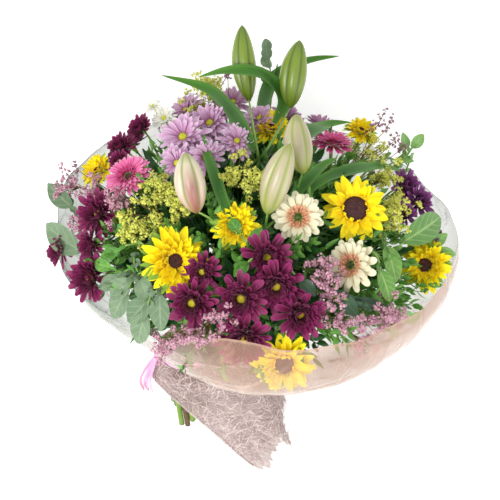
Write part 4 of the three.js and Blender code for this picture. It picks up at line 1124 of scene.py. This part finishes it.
BUD_FINISH = {
    "green": bud_material("lily_bud_green_skin", [
        (0.0, "#587018"), (0.35, "#768C2A"), (0.75, "#728A22"), (1.0, "#5C761C")], "#4A6018"),
    "cream": bud_material("lily_bud_cream_skin", [
        (0.0, "#7E9038"), (0.16, "#A2A568"), (0.45, "#B2A988"), (0.85, "#AEA882"), (1.0, "#87923E")],
        "#8A9C30"),
    "blush": bud_material("lily_bud_blush_skin", [
        (0.0, "#A08A60"), (0.16, "#C2A694"), (0.45, "#CCBCA8"), (0.85, "#C8C0A4"), (1.0, "#989E58")],
        "#808E40", "#8E463C"),
}


def bud_mesh(base, tip, width, finish):
    """A closed spindle of six lobes, three of them lying over the others, with a blunt tip."""
    rows, ribs = 26, 48
    length = (tip - base).length
    u = np.linspace(0, 1, rows)[:, None]
    turn = np.linspace(0, 2 * math.pi, ribs, endpoint=False)[None, :]
    swell = np.sin(np.pi * u) ** 0.6 * (1.04 - 0.14 * u)
    swell[0], swell[-1] = 0.1, 0.035
    groove = 1 - 0.17 * np.abs(np.cos(3 * turn)) ** 5 * np.sin(np.pi * u) ** 0.5
    lobe = 1 + 0.03 * np.cos(3 * turn + 0.8) * np.sin(np.pi * u)
    radius = 0.5 * width * swell * groove * lobe
    bend = 0.02 * length * np.sin(np.pi * u)
    points = np.stack([length * u + 0 * turn, radius * np.cos(turn) + bend, radius * np.sin(turn)], -1)
    points = np.concatenate([points, points[:, :1]], 1)
    return sheet_mesh("bud", points, finish), leaf_place(base, tip, TOWARDS_EYE)


BLADE_WIDEST = 0.4  # how far along a lily blade it is widest


def lily_blade(places, width):
    """A long blade along a path, with a fold down its middle and a tapering tip."""
    path = smooth_path(places, 22)
    tangents = np.gradient(path, axis=0)
    tangents /= np.linalg.norm(tangents, axis=1)[:, None]
    outward = np.array([tuple((dome_way(Vector(p)) * 0.7 + TOWARDS_EYE).normalized()) for p in path])
    side = np.cross(outward, tangents)
    side /= np.linalg.norm(side, axis=1)[:, None]
    top = np.cross(tangents, side)
    u = np.linspace(0, 1, len(path))
    swell = np.sin(np.pi * u ** (math.log(0.5) / math.log(BLADE_WIDEST))) ** 0.7
    half = 0.5 * width * np.maximum(swell, 0.35 * (1 - u) ** 0.8)
    half[-1] = 0.3
    v = np.linspace(-1, 1, 7)
    fold = 0.28 * np.abs(v)[None, :] * half[:, None]
    wave = 0.12 * half[:, None] * np.sin(14 * u[:, None] + 2 * v[None, :])
    points = path[:, None] + side[:, None] * (half[:, None] * v)[..., None]
    points = points + top[:, None] * (fold + wave)[..., None]
    return sheet_mesh("lily blade", points, LILY_BLADE)


# Two blades of the back lily arch forward: one over the lilac flowers, one past the front of a bud.
LEAF_FORWARD = {("lily_stem_back", 0): (0, 12, 42, 40, 20), ("lily_stem_back", 1): (62, 78, 86, 84, 70)}

for number, (name, fork_at, leaf_width, buds, leaves) in enumerate(lilies):
    fork = on_dome(fork_at, LILY_FORK_LIFT)
    axis = (fork - FORK_FOOT).normalized()
    twigs, meshes = [], []
    for k, (base_at, tip_at, by, width, forward, kind) in enumerate(buds):
        base = on_dome(base_at, BUD_LIFT)
        across, rise = tip_at[0] - base_at[0], base_at[1] - tip_at[1]
        tip = base + PICTURE_RIGHT * across * MM_PER_PIXEL + PICTURE_UP * rise * MM_PER_PIXEL
        tip = tip + TOWARDS_EYE * forward
        bud_name = f"{name.replace('stem', 'bud')}_{k + 1}"
        bud = join(bud_name, [bud_mesh(base, tip, width, BUD_FINISH[kind])])
        finished(bud, "lily_bud_green" if kind == "green" else "lily_bud_cream", bud_name)
        twigs.append(smooth_path([fork, on_dome(by, BUD_STALK_LIFT[kind]), base + (tip - base) * 0.03], 12))
    for k, places in enumerate(leaves):
        points = [on_dome(at, 2 + 3 * i) for i, at in enumerate(places)]
        ahead = LEAF_FORWARD.get((name, k), (0,) * len(points))
        points = [point + (EYE - point).normalized() * step for point, step in zip(points, ahead)]
        meshes.append(lily_blade([fork.lerp(points[0], 0.6)] + points, leaf_width))
    stalk_leaf = [fork.lerp(FORK_FOOT, -0.1 + 0.25 * k) for k in range(5)]
    meshes.append(sprigs([stalk_leaf], BLADE_ELEMENT, LILY_BLADE, 12, 0.0, 40, (70, 80), seed=7600 + number))
    plans.append((name, fork, axis, twigs, meshes, LILY_STALK, "lily_leaf"))

# ---- Stems join what they carry ----
STEM_TAPER = ([0, 0.35, 0.8, 1], [3.9, 3.5, 2.8, 2.3])  # shares of a stem's length, and its radii there
TWIG_TAPER = (1.9, 1.1)
PITH_RADIUS = 3.3
ways_out = [plan[1] - FORK_FOOT for plan in plans]
places = share_places([Vector((way.x, way.y, 0)) * STEM_RINGS * STEM_PITCH / DOME_RADIUS for way in ways_out])
for index, (name, fork, axis, twigs, meshes, finish, slot) in enumerate(plans):
    path = stem_path(places[index], index, fork, axis)
    radii = np.interp(np.linspace(0, 1, len(path)), *STEM_TAPER)
    runs = [(path, radii)] + [(twig, np.linspace(*TWIG_TAPER, len(twig))) for twig in twigs]
    out = (path[0] - path[1]) / np.linalg.norm(path[0] - path[1])
    pith = tubes([((path[0] + out * 0.05, path[0] + out * 0.35), PITH_RADIUS)], CUT_FACE, 9)
    finished(join(name, [tubes(runs, finish, 9), pith, *meshes]), slot, name)

# ---- Leafy twigs that fill the bouquet all round, under the flowers ----
def fill_twigs(count, inner, outer, first_turn):
    """Twigs from the middle of the bouquet out to evenly spread places under the dome."""
    paths = []
    for i in range(count):
        rise = 1 - (i + 0.5) / count * 1.16
        turn = i * GOLDEN_TURN + first_turn
        flat = math.sqrt(max(0.0, 1 - rise * rise))
        out = Vector((flat * math.sin(turn) * DOME_RADIUS, -flat * math.cos(turn) * DOME_RADIUS,
                      rise * DOME_HEIGHT))
        end = out * float(rng.uniform(inner, outer))
        start = FORK_FOOT.lerp(end, 0.35)
        bow = Vector(rng.normal(0, 7, 3))
        paths.append(smooth_path([start, start.lerp(end, 0.5) + bow, end], 9))
    return paths


def tapered(paths, foot, tip, finish, sides):
    """Thin twigs, as thick as foot at their start and as tip at their end."""
    return tubes([(path, np.linspace(foot, tip, len(path))) for path in paths], finish, sides)


leafy = fill_twigs(150, 0.86, 0.97, 0.3)
filler = join("leafy_filler", [
    tapered(leafy, 1.1, 0.5, LILY_STALK, 5),
    sprigs(leafy[0::2], BOX_ELEMENT, BOX_LEAF, 5.5, 0.35, 48, (17, 13), spread=0.5, seed=8001),
    sprigs(leafy[1::2], LONG_ELEMENT, BOX_LEAF, 6.5, 0.35, 38, (26, 18), spread=0.5, seed=8002)])
finished(filler, "box_leaf")
OPEN_PLACES = [  # where bright leaves show between the flowers
    (400, 226), (414, 238), (424, 292), (408, 300), (392, 302), (376, 312), (352, 332), (336, 338),
    (432, 284), (440, 268), (412, 262), (404, 276), (112, 256), (100, 242), (94, 262), (86, 272),
    (118, 290), (134, 272), (84, 212), (104, 228), (378, 296), (364, 306), (396, 288), (416, 306),
    (388, 262), (376, 236), (214, 214), (200, 236), (220, 250), (300, 250), (316, 240), (310, 196),
    (338, 172), (362, 160), (380, 194), (150, 240), (166, 226), (240, 262), (206, 192), (228, 200),
    (144, 180), (160, 172)]
edge_twigs = []
for place in OPEN_PLACES:
    tip = on_dome(place, -2)
    edge_twigs.append(smooth_path([FORK_FOOT.lerp(tip, 0.6), FORK_FOOT.lerp(tip, 0.85), tip], 9))
bright = join("bright_foliage", [
    tapered(edge_twigs, 1.1, 0.5, LILY_STALK, 5),
    sprigs(edge_twigs, BOX_ELEMENT, BOX_LEAF, 4.5, 0.3, 48, (20, 13), spread=0.5, seed=8005)])
finished(bright, "box_leaf")
tip_path = smooth_path([FORK_FOOT.lerp(on_dome((272, 110), -6), 0.8), on_dome((272, 90), -6),
                        on_dome((267, 52))], 12)
tip_leaves = sprigs([tip_path[6:]], ROUND_ELEMENT, EUCALYPTUS, 9, 0.1, 34, (22, 17), spread=0.4, seed=8006)
finished(join("eucalyptus_tip", [tubes([(tip_path, 0.9)], LILY_STALK, 6), tip_leaves]), "eucalyptus_leaf")


DRY_FLORET_SIZE = 2.2


def dry_sprigs(tips, seed):
    """Thin twigs of dry florets that reach out past the flowers."""
    local = np.random.default_rng(seed)
    paths, points, ways = [], [], []
    for across, down, length in tips:
        tip = on_dome((across, down), 6)
        out = (tip - FORK_FOOT).normalized()
        way = (dome_way(tip) + Vector((0, 0, 0.6))).normalized()
        end = tip + way * length
        paths.append(smooth_path([FORK_FOOT.lerp(tip, 0.7), tip - out * 12, tip, end], 10))
        for part in np.linspace(0.1, 1, 16):
            aside = Vector(local.normal(0, 2.6, 3))
            points.append(tip.lerp(end, part) + aside)
            ways.append((aside.normalized() + way).normalized())
    return [tapered(paths, 0.8, 0.4, DRY_TWIG, 4),
            scatter_florets(points, ways, DRY_FLORET, DRY_FLORET_SIZE, seed)]


sprays_out = [(376, 128, 26), (384, 132, 22), (366, 136, 20), (390, 146, 16), (398, 152, 12), (80, 172, 14),
              (74, 182, 16), (66, 190, 14), (206, 88, 10), (228, 80, 10)]
finished(join("dry_sprigs", dry_sprigs(sprays_out, 8100)), "statice_pink")
# Painted shade: an inner layer of twigs carries leaves painted nearly black, as the shade deep in the
# bouquet.
shade = fill_twigs(130, 0.66, 0.84, 1.1)
inner = join("inner_foliage", [
    tapered(shade, 1.3, 0.6, LILY_STALK, 5),
    sprigs(shade, BOX_ELEMENT, SHADE_LEAF, 6, 0.25, 50, (26, 20), spread=0.6, seed=8003),
    sprigs(shade[0::2], LONG_ELEMENT, SHADE_LEAF, 9, 0.2, 36, (42, 34), spread=0.5, seed=8004)])
finished(inner, "dark_leaf")

# ---- The wraps ----
FILM_OUTLINE = [  # (radius, height) from the tie to the rim
    (30.6, -207), (30.6, -190), (72, -150), (142, -103), (206, -58), (246, -12), (259, 24), (253, 44)]
FILM_WALL = 0.8
FILM_FOOT = FILM_OUTLINE[0][0]
RIM_RISE = 30
RIM_TURN = math.radians(45)
# The wrap is drawn in by a share of its spread at two turns, each over an angle.
DRAWN_IN = [(0.22, math.radians(-28), math.radians(36)), (0.06, math.radians(50), math.radians(30))]


def drawn_to(waist, radius, angle):
    """A radius of the wrap, less where the wrap is drawn in towards the spine."""
    kept = 1 - sum(share * math.exp(-(((angle - turn) / width) ** 2)) for share, turn, width in DRAWN_IN)
    return waist + (radius - waist) * kept


def smooth_step(value, low, high):
    """0 below low, 1 above high, and a soft slope between them."""
    t = np.clip((value - low) / (high - low), 0, 1)
    return t * t * (3 - 2 * t)


def around_spine(angle, radius, height):
    """The place at an angle from the front and a radius from the spine."""
    return spine_at(height) + Vector((math.sin(angle) * radius, -math.cos(angle) * radius, 0))


def film_material():
    """Clear cellophane: glossy, crumpled in sharp creases, and milky where it is seen edge on. Its
    crease ridges, and streaks along its crumples, are made more opaque as painted highlights. A paper
    lining tints its front and right peach, and the shade its left grey."""
    material, tree, shader = new_material("clear_cellophane", 0.12, Specular_IOR_Level=0.7, IOR=1.49)
    uv, up, around = sheet_places(tree)
    bent = add_node(tree, "ShaderNodeTexNoise", {"Vector": uv, "Scale": 9.0, "Detail": 2.0})
    swayed = add_node(tree, "ShaderNodeVectorMath", {0: bent, 1: (0.05, 0.02, 0.0)}, operation="MULTIPLY")
    swayed = add_node(tree, "ShaderNodeVectorMath", {0: swayed, 1: uv}, operation="ADD")
    creases = add_node(tree, "ShaderNodeVectorMath", {0: swayed, 1: (7.0, 40.0, 1.0)}, operation="MULTIPLY")
    facets = add_node(tree, "ShaderNodeTexVoronoi", {"Vector": creases, "Scale": 0.8},
                      feature="DISTANCE_TO_EDGE").outputs["Distance"]
    ridge = add_node(tree, "ShaderNodeMapRange", {0: facets, 1: 0.0, 2: 0.06, 3: 1.0, 4: 0.0})
    crumple = add_node(tree, "ShaderNodeTexNoise", {
        "Vector": creases, "Scale": 1.3, "Detail": 6.0, "Roughness": 0.65})
    height = add_node(tree, "ShaderNodeMath", {0: ridge, 1: 0.5, 2: crumple}, operation="MULTIPLY_ADD")
    from_front = away_from(tree, 0.6, around)
    lined = add_node(tree, "ShaderNodeMapRange", {0: from_front, 1: 0.1, 2: 0.2, 3: 1.0, 4: 0.0})
    grey = add_node(tree, "ShaderNodeMapRange", {0: around, 1: 0.1, 2: 0.2, 3: 0.0, 4: 1.0})
    past = add_node(tree, "ShaderNodeMapRange", {0: around, 1: 0.35, 2: 0.43, 3: 1.0, 4: 0.0})
    grey = add_node(tree, "ShaderNodeMath", {0: grey, 1: past}, operation="MULTIPLY")
    clear = add_node(tree, "ShaderNodeMix", {0: grey, 6: linear("#9C9A8E"), 7: linear("#6E7A66")},
                     data_type="RGBA")
    colour = add_node(tree, "ShaderNodeMix", {0: lined, 6: clear, 7: linear("#B4907A")}, data_type="RGBA")
    give_skin(tree, shader, colour.outputs[2], height, 0.4, 0.003)
    edge_on = add_node(tree, "ShaderNodeLayerWeight", {"Blend": 0.3}).outputs["Facing"]
    veil = add_node(tree, "ShaderNodeMapRange", {0: edge_on, 1: 0.2, 2: 1.0, 3: 0.32, 4: 0.8})
    # Painted highlights: these streaks along the crumples, and the crease ridges below, make the film more
    # opaque.
    streak = add_node(tree, "ShaderNodeMapRange", {0: crumple, 1: 0.56, 2: 0.68, 3: 0.0, 4: 0.3})
    veil = add_node(tree, "ShaderNodeMath", {0: veil, 1: streak}, operation="ADD")
    veil = add_node(tree, "ShaderNodeMath", {0: ridge, 1: 0.09, 2: veil}, operation="MULTIPLY_ADD")
    veil = add_node(tree, "ShaderNodeMath", {0: lined, 1: 0.14, 2: veil}, operation="MULTIPLY_ADD")
    right = add_node(tree, "ShaderNodeMapRange", {0: around, 1: 0.58, 2: 0.66, 3: 0.0, 4: 0.14})
    veil = add_node(tree, "ShaderNodeMath", {0: right, 1: lined, 2: veil}, operation="MULTIPLY_ADD")
    near_tie = add_node(tree, "ShaderNodeMapRange", {0: up, 1: 0.3, 2: 0.62, 3: 0.22, 4: 1.0})
    veil = add_node(tree, "ShaderNodeMath", {0: veil, 1: near_tie}, operation="MULTIPLY")
    veil = add_node(tree, "ShaderNodeMath", {0: grey, 1: 0.26, 2: veil}, operation="MULTIPLY_ADD")
    rim = add_node(tree, "ShaderNodeMapRange", {0: up, 1: 0.99, 2: 0.996, 3: 0.0, 4: 0.3})
    veil = add_node(tree, "ShaderNodeMath", {0: veil, 1: rim}, operation="ADD")
    tree.links.new(veil.outputs[0], shader.inputs["Alpha"])
    return material


LOW_EDGE = 0.19  # share of the film's height that its edge lies lower at the left, under the flowers
LOW_FROM, LOW_TO = (-114, -88), (-34, 0)  # turns between which the low edge begins and ends
PLEATS, CLOSE_PLEATS = 31, 53
FLAT_FOOT = 0.06  # share of the film's height that lies flat on the stems


def film_sheet():
    """The clear wrap, gathered at the tie: pleats fan out from the waist and fade towards the rim."""
    rows, columns = 54, 300
    full_radii, full_heights, _ = smooth_path([(r, z, 0) for r, z in FILM_OUTLINE], rows).T
    points = np.zeros((rows, columns, 3))
    for j in range(columns):
        angle = 2 * math.pi * (j / (columns - 1) - 0.5)
        turn = math.degrees(angle)
        cut = LOW_EDGE * float(smooth_step(turn, *LOW_FROM) * (1 - smooth_step(turn, *LOW_TO)))
        places = np.arange(rows) * (1 - cut)
        radii, heights = (np.interp(places, range(rows), line) for line in (full_radii, full_heights))
        rim = smooth_step(heights, -30, 44)
        pleat = math.sin(PLEATS * angle + 1.7 * math.sin(3 * angle))
        pleat += 0.5 * math.sin(CLOSE_PLEATS * angle + 2)
        for i in range(rows):
            up = i / (rows - 1)
            depth = 0.5 + 3.4 * math.sin(math.pi * min(1, 1.25 * up)) ** 2 * (1 - 0.75 * up)
            crumple = 1.1 * math.sin(9 * angle + 14 * up) * up
            radius = drawn_to(FILM_FOOT, radii[i], angle) - FILM_WALL / 2
            radius += (depth * 0.55 * pleat - 2.5) * (up > FLAT_FOOT) - crumple
            height = heights[i] + rim[i] * (RIM_RISE * math.cos(angle - RIM_TURN) + 3 * math.sin(5 * angle)
                                            + 2.2 * math.sin(17 * angle) * up**4)
            points[i, j] = at_least(0.3, around_spine(angle, radius, height))
    return sheet_mesh("film", points, film_material())


film = finished(join("clear_film", [film_sheet()]), "clear_film", "clear_film")
film.visible_shadow = False
film.visible_diffuse = False

WEB_FROM, WEB_TO = math.radians(-84), math.radians(108)
HEM_RADIUS, HEM_HEIGHT = 29.6, -207
COLLAR = [(HEM_RADIUS, -190), (62, -150), (106, -116)]
SKIRT = [  # left edge to right edge: (across, down, height) near the tie, halfway and at the end
    ((151, 374, 70), (200, 420, 68), (260, 471, 30)), ((158, 379, 84), (206, 415, 78), (266, 468, 40)),
    ((168, 382, 93), (214, 410, 82), (269, 463, 44)), ((177, 385, 101), (222, 406, 86), (272, 459, 48)),
    ((186, 386, 102), (231, 401, 86), (274, 452, 49)), ((196, 386, 103), (240, 396, 85), (277, 446, 50)),
    ((204, 384, 101), (248, 391, 82), (281, 440, 49)), ((212, 381, 96), (255, 387, 74), (288, 444, 44)),
    ((217, 375, 85), (260, 381, 57), (289, 438, 29)), ((218, 369, 76), (261, 376, 48), (286, 431, 20)),
    ((217, 364, 70), (262, 372, 43), (284, 423, 15)), ((215, 359, 66), (262, 367, 40), (283, 409, 12)),
    ((212, 354, 63), (260, 362, 38), (284, 396, 12))]
SKIRT_SHARE = 0.62
FIBRE_ROWS, FIBRE_COLUMNS = 60, 80
EDGE_FIBRE_RADIUS = 0.22
WEB_INSET, FIBRE_INSET = 0.8, 0.3  # how far the web and its loose fibres lie within its outer face


def skirt_grid(rows, columns):
    """The skirt from its end to the tie, one row of places across it after another."""
    ribs = []
    for k, places in enumerate(SKIRT):
        angle = WEB_FROM + (WEB_TO - WEB_FROM) * k / (len(SKIRT) - 1)
        rib = [around_spine(angle, HEM_RADIUS, HEM_HEIGHT), *(on_level(place) for place in places)]
        ribs.append(smooth_path(rib, rows)[::-1])
    ribs = np.array(ribs)
    return np.stack([smooth_path(ribs[:, row], columns) for row in range(rows)])


def collar_grid(rows, columns):
    """The collar from the tie up into the film."""
    points = np.zeros((rows, columns, 3))
    for j in range(columns):
        angle = WEB_FROM + (WEB_TO - WEB_FROM) * j / (columns - 1)
        line = [around_spine(angle, HEM_RADIUS, HEM_HEIGHT)]
        line += [around_spine(angle, drawn_to(HEM_RADIUS, radius, angle), height)
                 for radius, height in COLLAR]
        points[:, j] = smooth_path(line, rows)
    return points


def web_points(rows, columns, inset):
    """The whole web: skirt and collar in one sheet, with soft folds and a frayed end."""
    skirt_rows = round(rows * SKIRT_SHARE)
    collar = collar_grid(rows - skirt_rows + 1, columns)
    points = np.concatenate([skirt_grid(skirt_rows, columns), collar[1:]])
    along, across = np.gradient(points, axis=0), np.gradient(points, axis=1)
    outward = np.cross(across, along)
    outward /= np.linalg.norm(outward, axis=2)[..., None] + 1e-9
    part = np.linspace(0, 1, rows)[:, None]
    turn = np.linspace(0, 1, columns)[None]
    loose = 1 - smooth_step(part, 0.3, 0.55) + 0.3 * smooth_step(part, 0.75, 0.95)
    fold = 0.8 * np.sin(2 * math.pi * (5.2 * turn + 0.5 * part))
    fold = fold + 0.7 * np.sin(2 * math.pi * (3.1 * part + 2.3 * turn))
    frayed = sum(size * np.sin(waves * turn + shift) for size, waves, shift in (
        (1.3, 31.7, 0.0), (1.1, 74.3, 1.0), (0.9, 131.9, 2.0))) * (1 - part) ** 10
    points = points + outward * (loose * fold - inset)[..., None] + along * (frayed * 0.5)[..., None]
    for i, j in np.ndindex(rows, columns):
        points[i, j] = at_least(0.5, points[i, j])
    return points


def web_material():
    """Sisal web: a flat felt of dyed fibres, open in a scatter of small ragged holes. The felt is painted
    darker than its loose fibres, as painted shade under them, and its holes darker still, as the painted
    shade seen through them.
    """
    material, tree, shader = new_material("sisal_web_felt", 0.9, Sheen_Weight=0.2, Sheen_Roughness=0.6)
    place = add_node(tree, "ShaderNodeTexCoord").outputs["Object"]
    felt = add_node(tree, "ShaderNodeTexNoise", {
        "Vector": place, "Scale": 520.0, "Detail": 3.0, "Roughness": 0.7})
    cloud = add_node(tree, "ShaderNodeTexNoise", {"Vector": place, "Scale": 46.0, "Detail": 2.0})
    shade = add_node(tree, "ShaderNodeMath", {0: felt, 1: 0.5, 2: cloud}, operation="MULTIPLY_ADD")
    # Painted shade: the felt under the loose fibres is coloured darker than they are.
    colour = add_node(tree, "ShaderNodeValToRGB", {"Fac": shade}, [
        (0.45, "#7C6864"), (0.7, "#A28C86"), (0.95, "#C2AEA6")])
    holes = add_node(tree, "ShaderNodeTexNoise", {
        "Vector": place, "Scale": 260.0, "Detail": 4.0, "Roughness": 0.7, "Distortion": 0.6})
    # Painted shade: the holes are coloured dark mauve, as the shade seen through them.
    hole_shade = add_node(tree, "ShaderNodeMapRange", {0: holes, 1: 0.37, 2: 0.42, 3: 1.0, 4: 0.0})
    shaded_holes = add_node(tree, "ShaderNodeMix", {0: hole_shade, 6: colour.outputs["Color"], 7: linear("#583C46")},
                      data_type="RGBA")
    give_skin(tree, shader, shaded_holes.outputs[2], felt, 0.4, 0.0004)
    solid = add_node(tree, "ShaderNodeMapRange", {0: holes, 1: 0.40, 2: 0.47, 3: 0.6, 4: 0.88})
    tree.links.new(solid.outputs[0], shader.inputs["Alpha"])
    return material


def fibre_tree():
    """Long loose fibres, scattered over a sheet, lying in it in every direction."""
    tree, group = growth_tree("fibres", "Density", "Size")
    spots = add_node(tree, "GeometryNodeDistributePointsOnFaces", {
        0: group["Geometry"], "Density": group["Density"], "Seed": group["Seed"]})
    chance, wobble = chances(tree, group, 3)
    spin = add_node(tree, "ShaderNodeMath", {0: chance[0], 1: math.pi}, operation="MULTIPLY")
    rotation = turned_on(tree, spots.outputs["Rotation"], {1: wobble[1], 2: spin})
    finish_copies(tree, group, spots.outputs["Points"], rotation, varied(tree, group["Size"], chance[2], 0.4))
    return tree


FIBRES = fibre_tree()
FIBRE, BOLD_FIBRE = (
    element("fibre", tubes([(smooth_path([(x, y, 0) for x, y in bends], 4), radius)], None, 3))
    for radius, bends in ((0.0125, ((-0.5, 0), (-0.15, 0.05), (0.2, 0.0), (0.5, 0.1))),
                          (0.015, ((-0.5, 0.06), (-0.15, -0.05), (0.2, 0.04), (0.5, -0.06)))))
web_sheet = sheet_mesh("web", web_points(70, 130, WEB_INSET), web_material())
fibre_grid = web_points(FIBRE_ROWS, FIBRE_COLUMNS, FIBRE_INSET)
fibre_base = sheet_mesh("web base", fibre_grid[3:, 3:-3])
web = finished(join("sisal_web", [web_sheet]), "sisal", "sisal_web")
loose_fibres = grow("fibres", FIBRES, base=fibre_base, Element=FIBRE, Density=0.058, Size=23.0, Spread=0.04,
                    Seed=91, Finish=SISAL_FIBRE)
bold_fibres = grow("bold_fibres", FIBRES, base=fibre_base, Element=BOLD_FIBRE, Density=0.022, Size=26.0,
                   Spread=0.02, Seed=92, Finish=SISAL_STRAND)


def edge_fibres(count, seed):
    """Fibres that follow the long edges of the web, rolled together, and stand out of its cut end."""
    local = np.random.default_rng(seed)
    last, cut_end = FIBRE_COLUMNS - 1, -1
    runs = []
    for _ in range(count):
        side = local.choice((0, 0, last, cut_end))
        if side == cut_end:
            j = local.integers(1, last)
            edge = fibre_grid[0, j]
            way = edge - fibre_grid[3, j]
            way = way / np.linalg.norm(way) + local.normal(0, 0.55, 3)
            points = [edge - way * 5, edge + way * 1.5, edge + way * local.uniform(2, 7)]
        else:
            i = local.integers(0, 26)
            points = fibre_grid[i:i + 9:4, side] + local.normal(0, 0.7, 3)
        runs.append((smooth_path([at_least(0.3, q) for q in points], 5), EDGE_FIBRE_RADIUS))
    return tubes(runs, SISAL_FIBRE, 3)


strands = finished(join("sisal_fibres", [loose_fibres, bold_fibres, edge_fibres(700, 5)]), "sisal")

# ---- Twine, raffia ring, knot and tails ----
def ring_path(radius, height, count):
    return np.array([tuple(around_spine(a, radius, height)) for a in np.linspace(0, 2 * math.pi, count)])


TWINE_RADIUS = 27.35
PLY_RADIUS = 0.55
PLY_TURNS = 34


def twine_mesh():
    """Four turns of two-ply twine round the stems."""
    runs = []
    for k in range(4):
        path = ring_path(TWINE_RADIUS, -201 + 2.0 * k, 200)
        tangents = np.gradient(path, axis=0)
        tangents /= np.linalg.norm(tangents, axis=1)[:, None]
        side = np.cross(tangents, (0, 0, 1.0))
        twist = np.linspace(0, 2 * math.pi * PLY_TURNS, len(path))[:, None]
        for phase in (0, math.pi):
            off = 0.45 * (np.cos(twist + phase) * side + np.sin(twist + phase) * np.array([0, 0, 1.0]))
            runs.append((path + off, PLY_RADIUS))
    return tubes(runs, TWINE, 6)


finished(join("binding_twine", [twine_mesh()]), "twine", "binding_twine")


EDGE_CURL = 0.25


def tape(path, width, outward, thick, twist=0.0):
    """A flat ribbon of raffia along a path, closed all round, rolled in a little at its edges."""
    path = np.asarray(path, float)
    tangents = np.gradient(path, axis=0)
    tangents /= np.linalg.norm(tangents, axis=1)[:, None]
    top = np.asarray(outward, float) + 0 * path
    top = top - tangents * (top * tangents).sum(1)[:, None]
    top /= np.linalg.norm(top, axis=1)[:, None]
    side = np.cross(tangents, top)
    turn = np.linspace(0, twist, len(path))[:, None]
    side, top = side * np.cos(turn) + top * np.sin(turn), top * np.cos(turn) - side * np.sin(turn)
    v = np.linspace(-1, 1, 7)
    half = width / 2 * (1 + 0.12 * np.sin(np.linspace(0, 9, len(path))))
    rolled = EDGE_CURL * width * 0.3 * v**2
    section = np.concatenate([np.stack([v, thick + rolled], -1), np.stack([v, -thick + rolled], -1)[::-1]])
    points = path[:, None] + side[:, None] * (half[:, None] * section[:, 0])[..., None] \
        + top[:, None] * np.broadcast_to(section[:, 1], (len(path), len(section)))[..., None]
    rows, columns = points.shape[:2]
    u = np.repeat(np.linspace(0, 1, rows), columns)
    w = np.tile(np.concatenate([np.linspace(0, 1, 7), np.linspace(1, 0, 7)]), rows)
    faces = [face[::-1] for face in grid_faces(rows, columns, closed=True)]
    faces += [tuple(range(columns)), tuple(range((rows - 1) * columns, rows * columns))[::-1]]
    return mesh_of("tape", points.reshape(-1, 3), faces, np.stack([u, w], -1), 0.5, RAFFIA)


KNOT_TURN = math.radians(-56)
KNOT_RADIUS = 41
RAFFIA_TURNS = ((32.2, -202.5), (32.6, -199.5), (32.3, -196.5), (33.0, -194.0))  # (radius, height)
RING_WIDTH, KNOT_WIDTH, TAIL_WIDTH = 4.2, 4.5, 4.0
TAIL_TWIST = 0.9
knot = around_spine(KNOT_TURN, KNOT_RADIUS, WAIST_HEIGHT)
knot_out = Vector((math.sin(KNOT_TURN), -math.cos(KNOT_TURN), 0))
raffia = []
for radius, height in RAFFIA_TURNS:
    circle = ring_path(radius, height, 80)
    outward = circle - np.array([tuple(spine_at(p[2])) for p in circle])
    outward[:, 2] = 0
    raffia.append(tape(circle, RING_WIDTH, outward, 0.3))
for k in range(3):
    lean = 0.5 * (k - 1)
    wrap = [knot + Vector((math.cos(a) * 3.5, lean * 2, math.sin(a) * 8)) + knot_out * (math.cos(a) * 5)
            for a in np.linspace(0.3, 2 * math.pi - 0.1, 14)]
    path = smooth_path(wrap, 22)
    raffia.append(tape(path, KNOT_WIDTH, path - np.array(knot), 0.4))
TAILS = [  # places that each tail passes below the knot
    [(-108, -30, -222), (-112, -30, -245), (-106, -26, -266)],
    [(-98, -38, -224), (-96, -36, -246), (-92, -32, -262)],
    [(-104, -36, -222), (-106, -33, -244), (-99, -29, -262)],
    [(-101, -33, -220), (-102, -35, -240), (-101, -30, -259)],
]
for k, tail in enumerate(TAILS):
    path = smooth_path([knot, *tail], 20)
    raffia.append(tape(path, TAIL_WIDTH, tuple(TOWARDS_EYE), 0.3, twist=TAIL_TWIST * (-1) ** k))
finished(join("raffia_tie", raffia), "raffia", "raffia_tie")

for shape in elements:
    bpy.data.objects.remove(shape)

# ---- Floor and light ----
FLOOR_HALF = 6.0
# Studio paper: matt and nearly white, with a glow of its own that keeps it pale.
PALE_PAPER = mottled_material("pale_studio_floor", [(0.0, "#FAFAFA"), (1.0, "#FFFFFF")], 0.9, 3.0, 0.0,
                              Emission_Color=linear("#FFFFFF"), Emission_Strength=0.3)
corners = [(x * FLOOR_HALF, y * FLOOR_HALF, 0) for x, y in ((-1, -1), (1, -1), (1, 1), (-1, 1))]
floor = show(bpy.data.objects.new("floor", mesh_of("floor", corners, [(0, 1, 2, 3)], material=PALE_PAPER)))

world = bpy.data.worlds.new("studio")
world.use_nodes = True
sky = world.node_tree.nodes["Background"].inputs
sky["Color"].default_value = linear("#FFFFFF")
sky["Strength"].default_value = 0.92
bpy.context.scene.world = world


def area_light(name, place, target, size, power):
    """A soft square light, aimed at a target."""
    light = bpy.data.objects.new(name, bpy.data.lights.new(name, "AREA"))
    light.data.size, light.data.energy = size, power
    way = Vector(target) - Vector(place)
    light.matrix_world = Matrix.Translation(place) @ way.to_track_quat("-Z", "Y").to_matrix().to_4x4()
    return show(light)


area_light("key", (-0.7, -0.5, 1.9), (0, 0.1, 0.2), 0.9, 24)
area_light("fill", (1.3, -0.9, 1.6), (0, 0, 0.2), 1.4, 12)
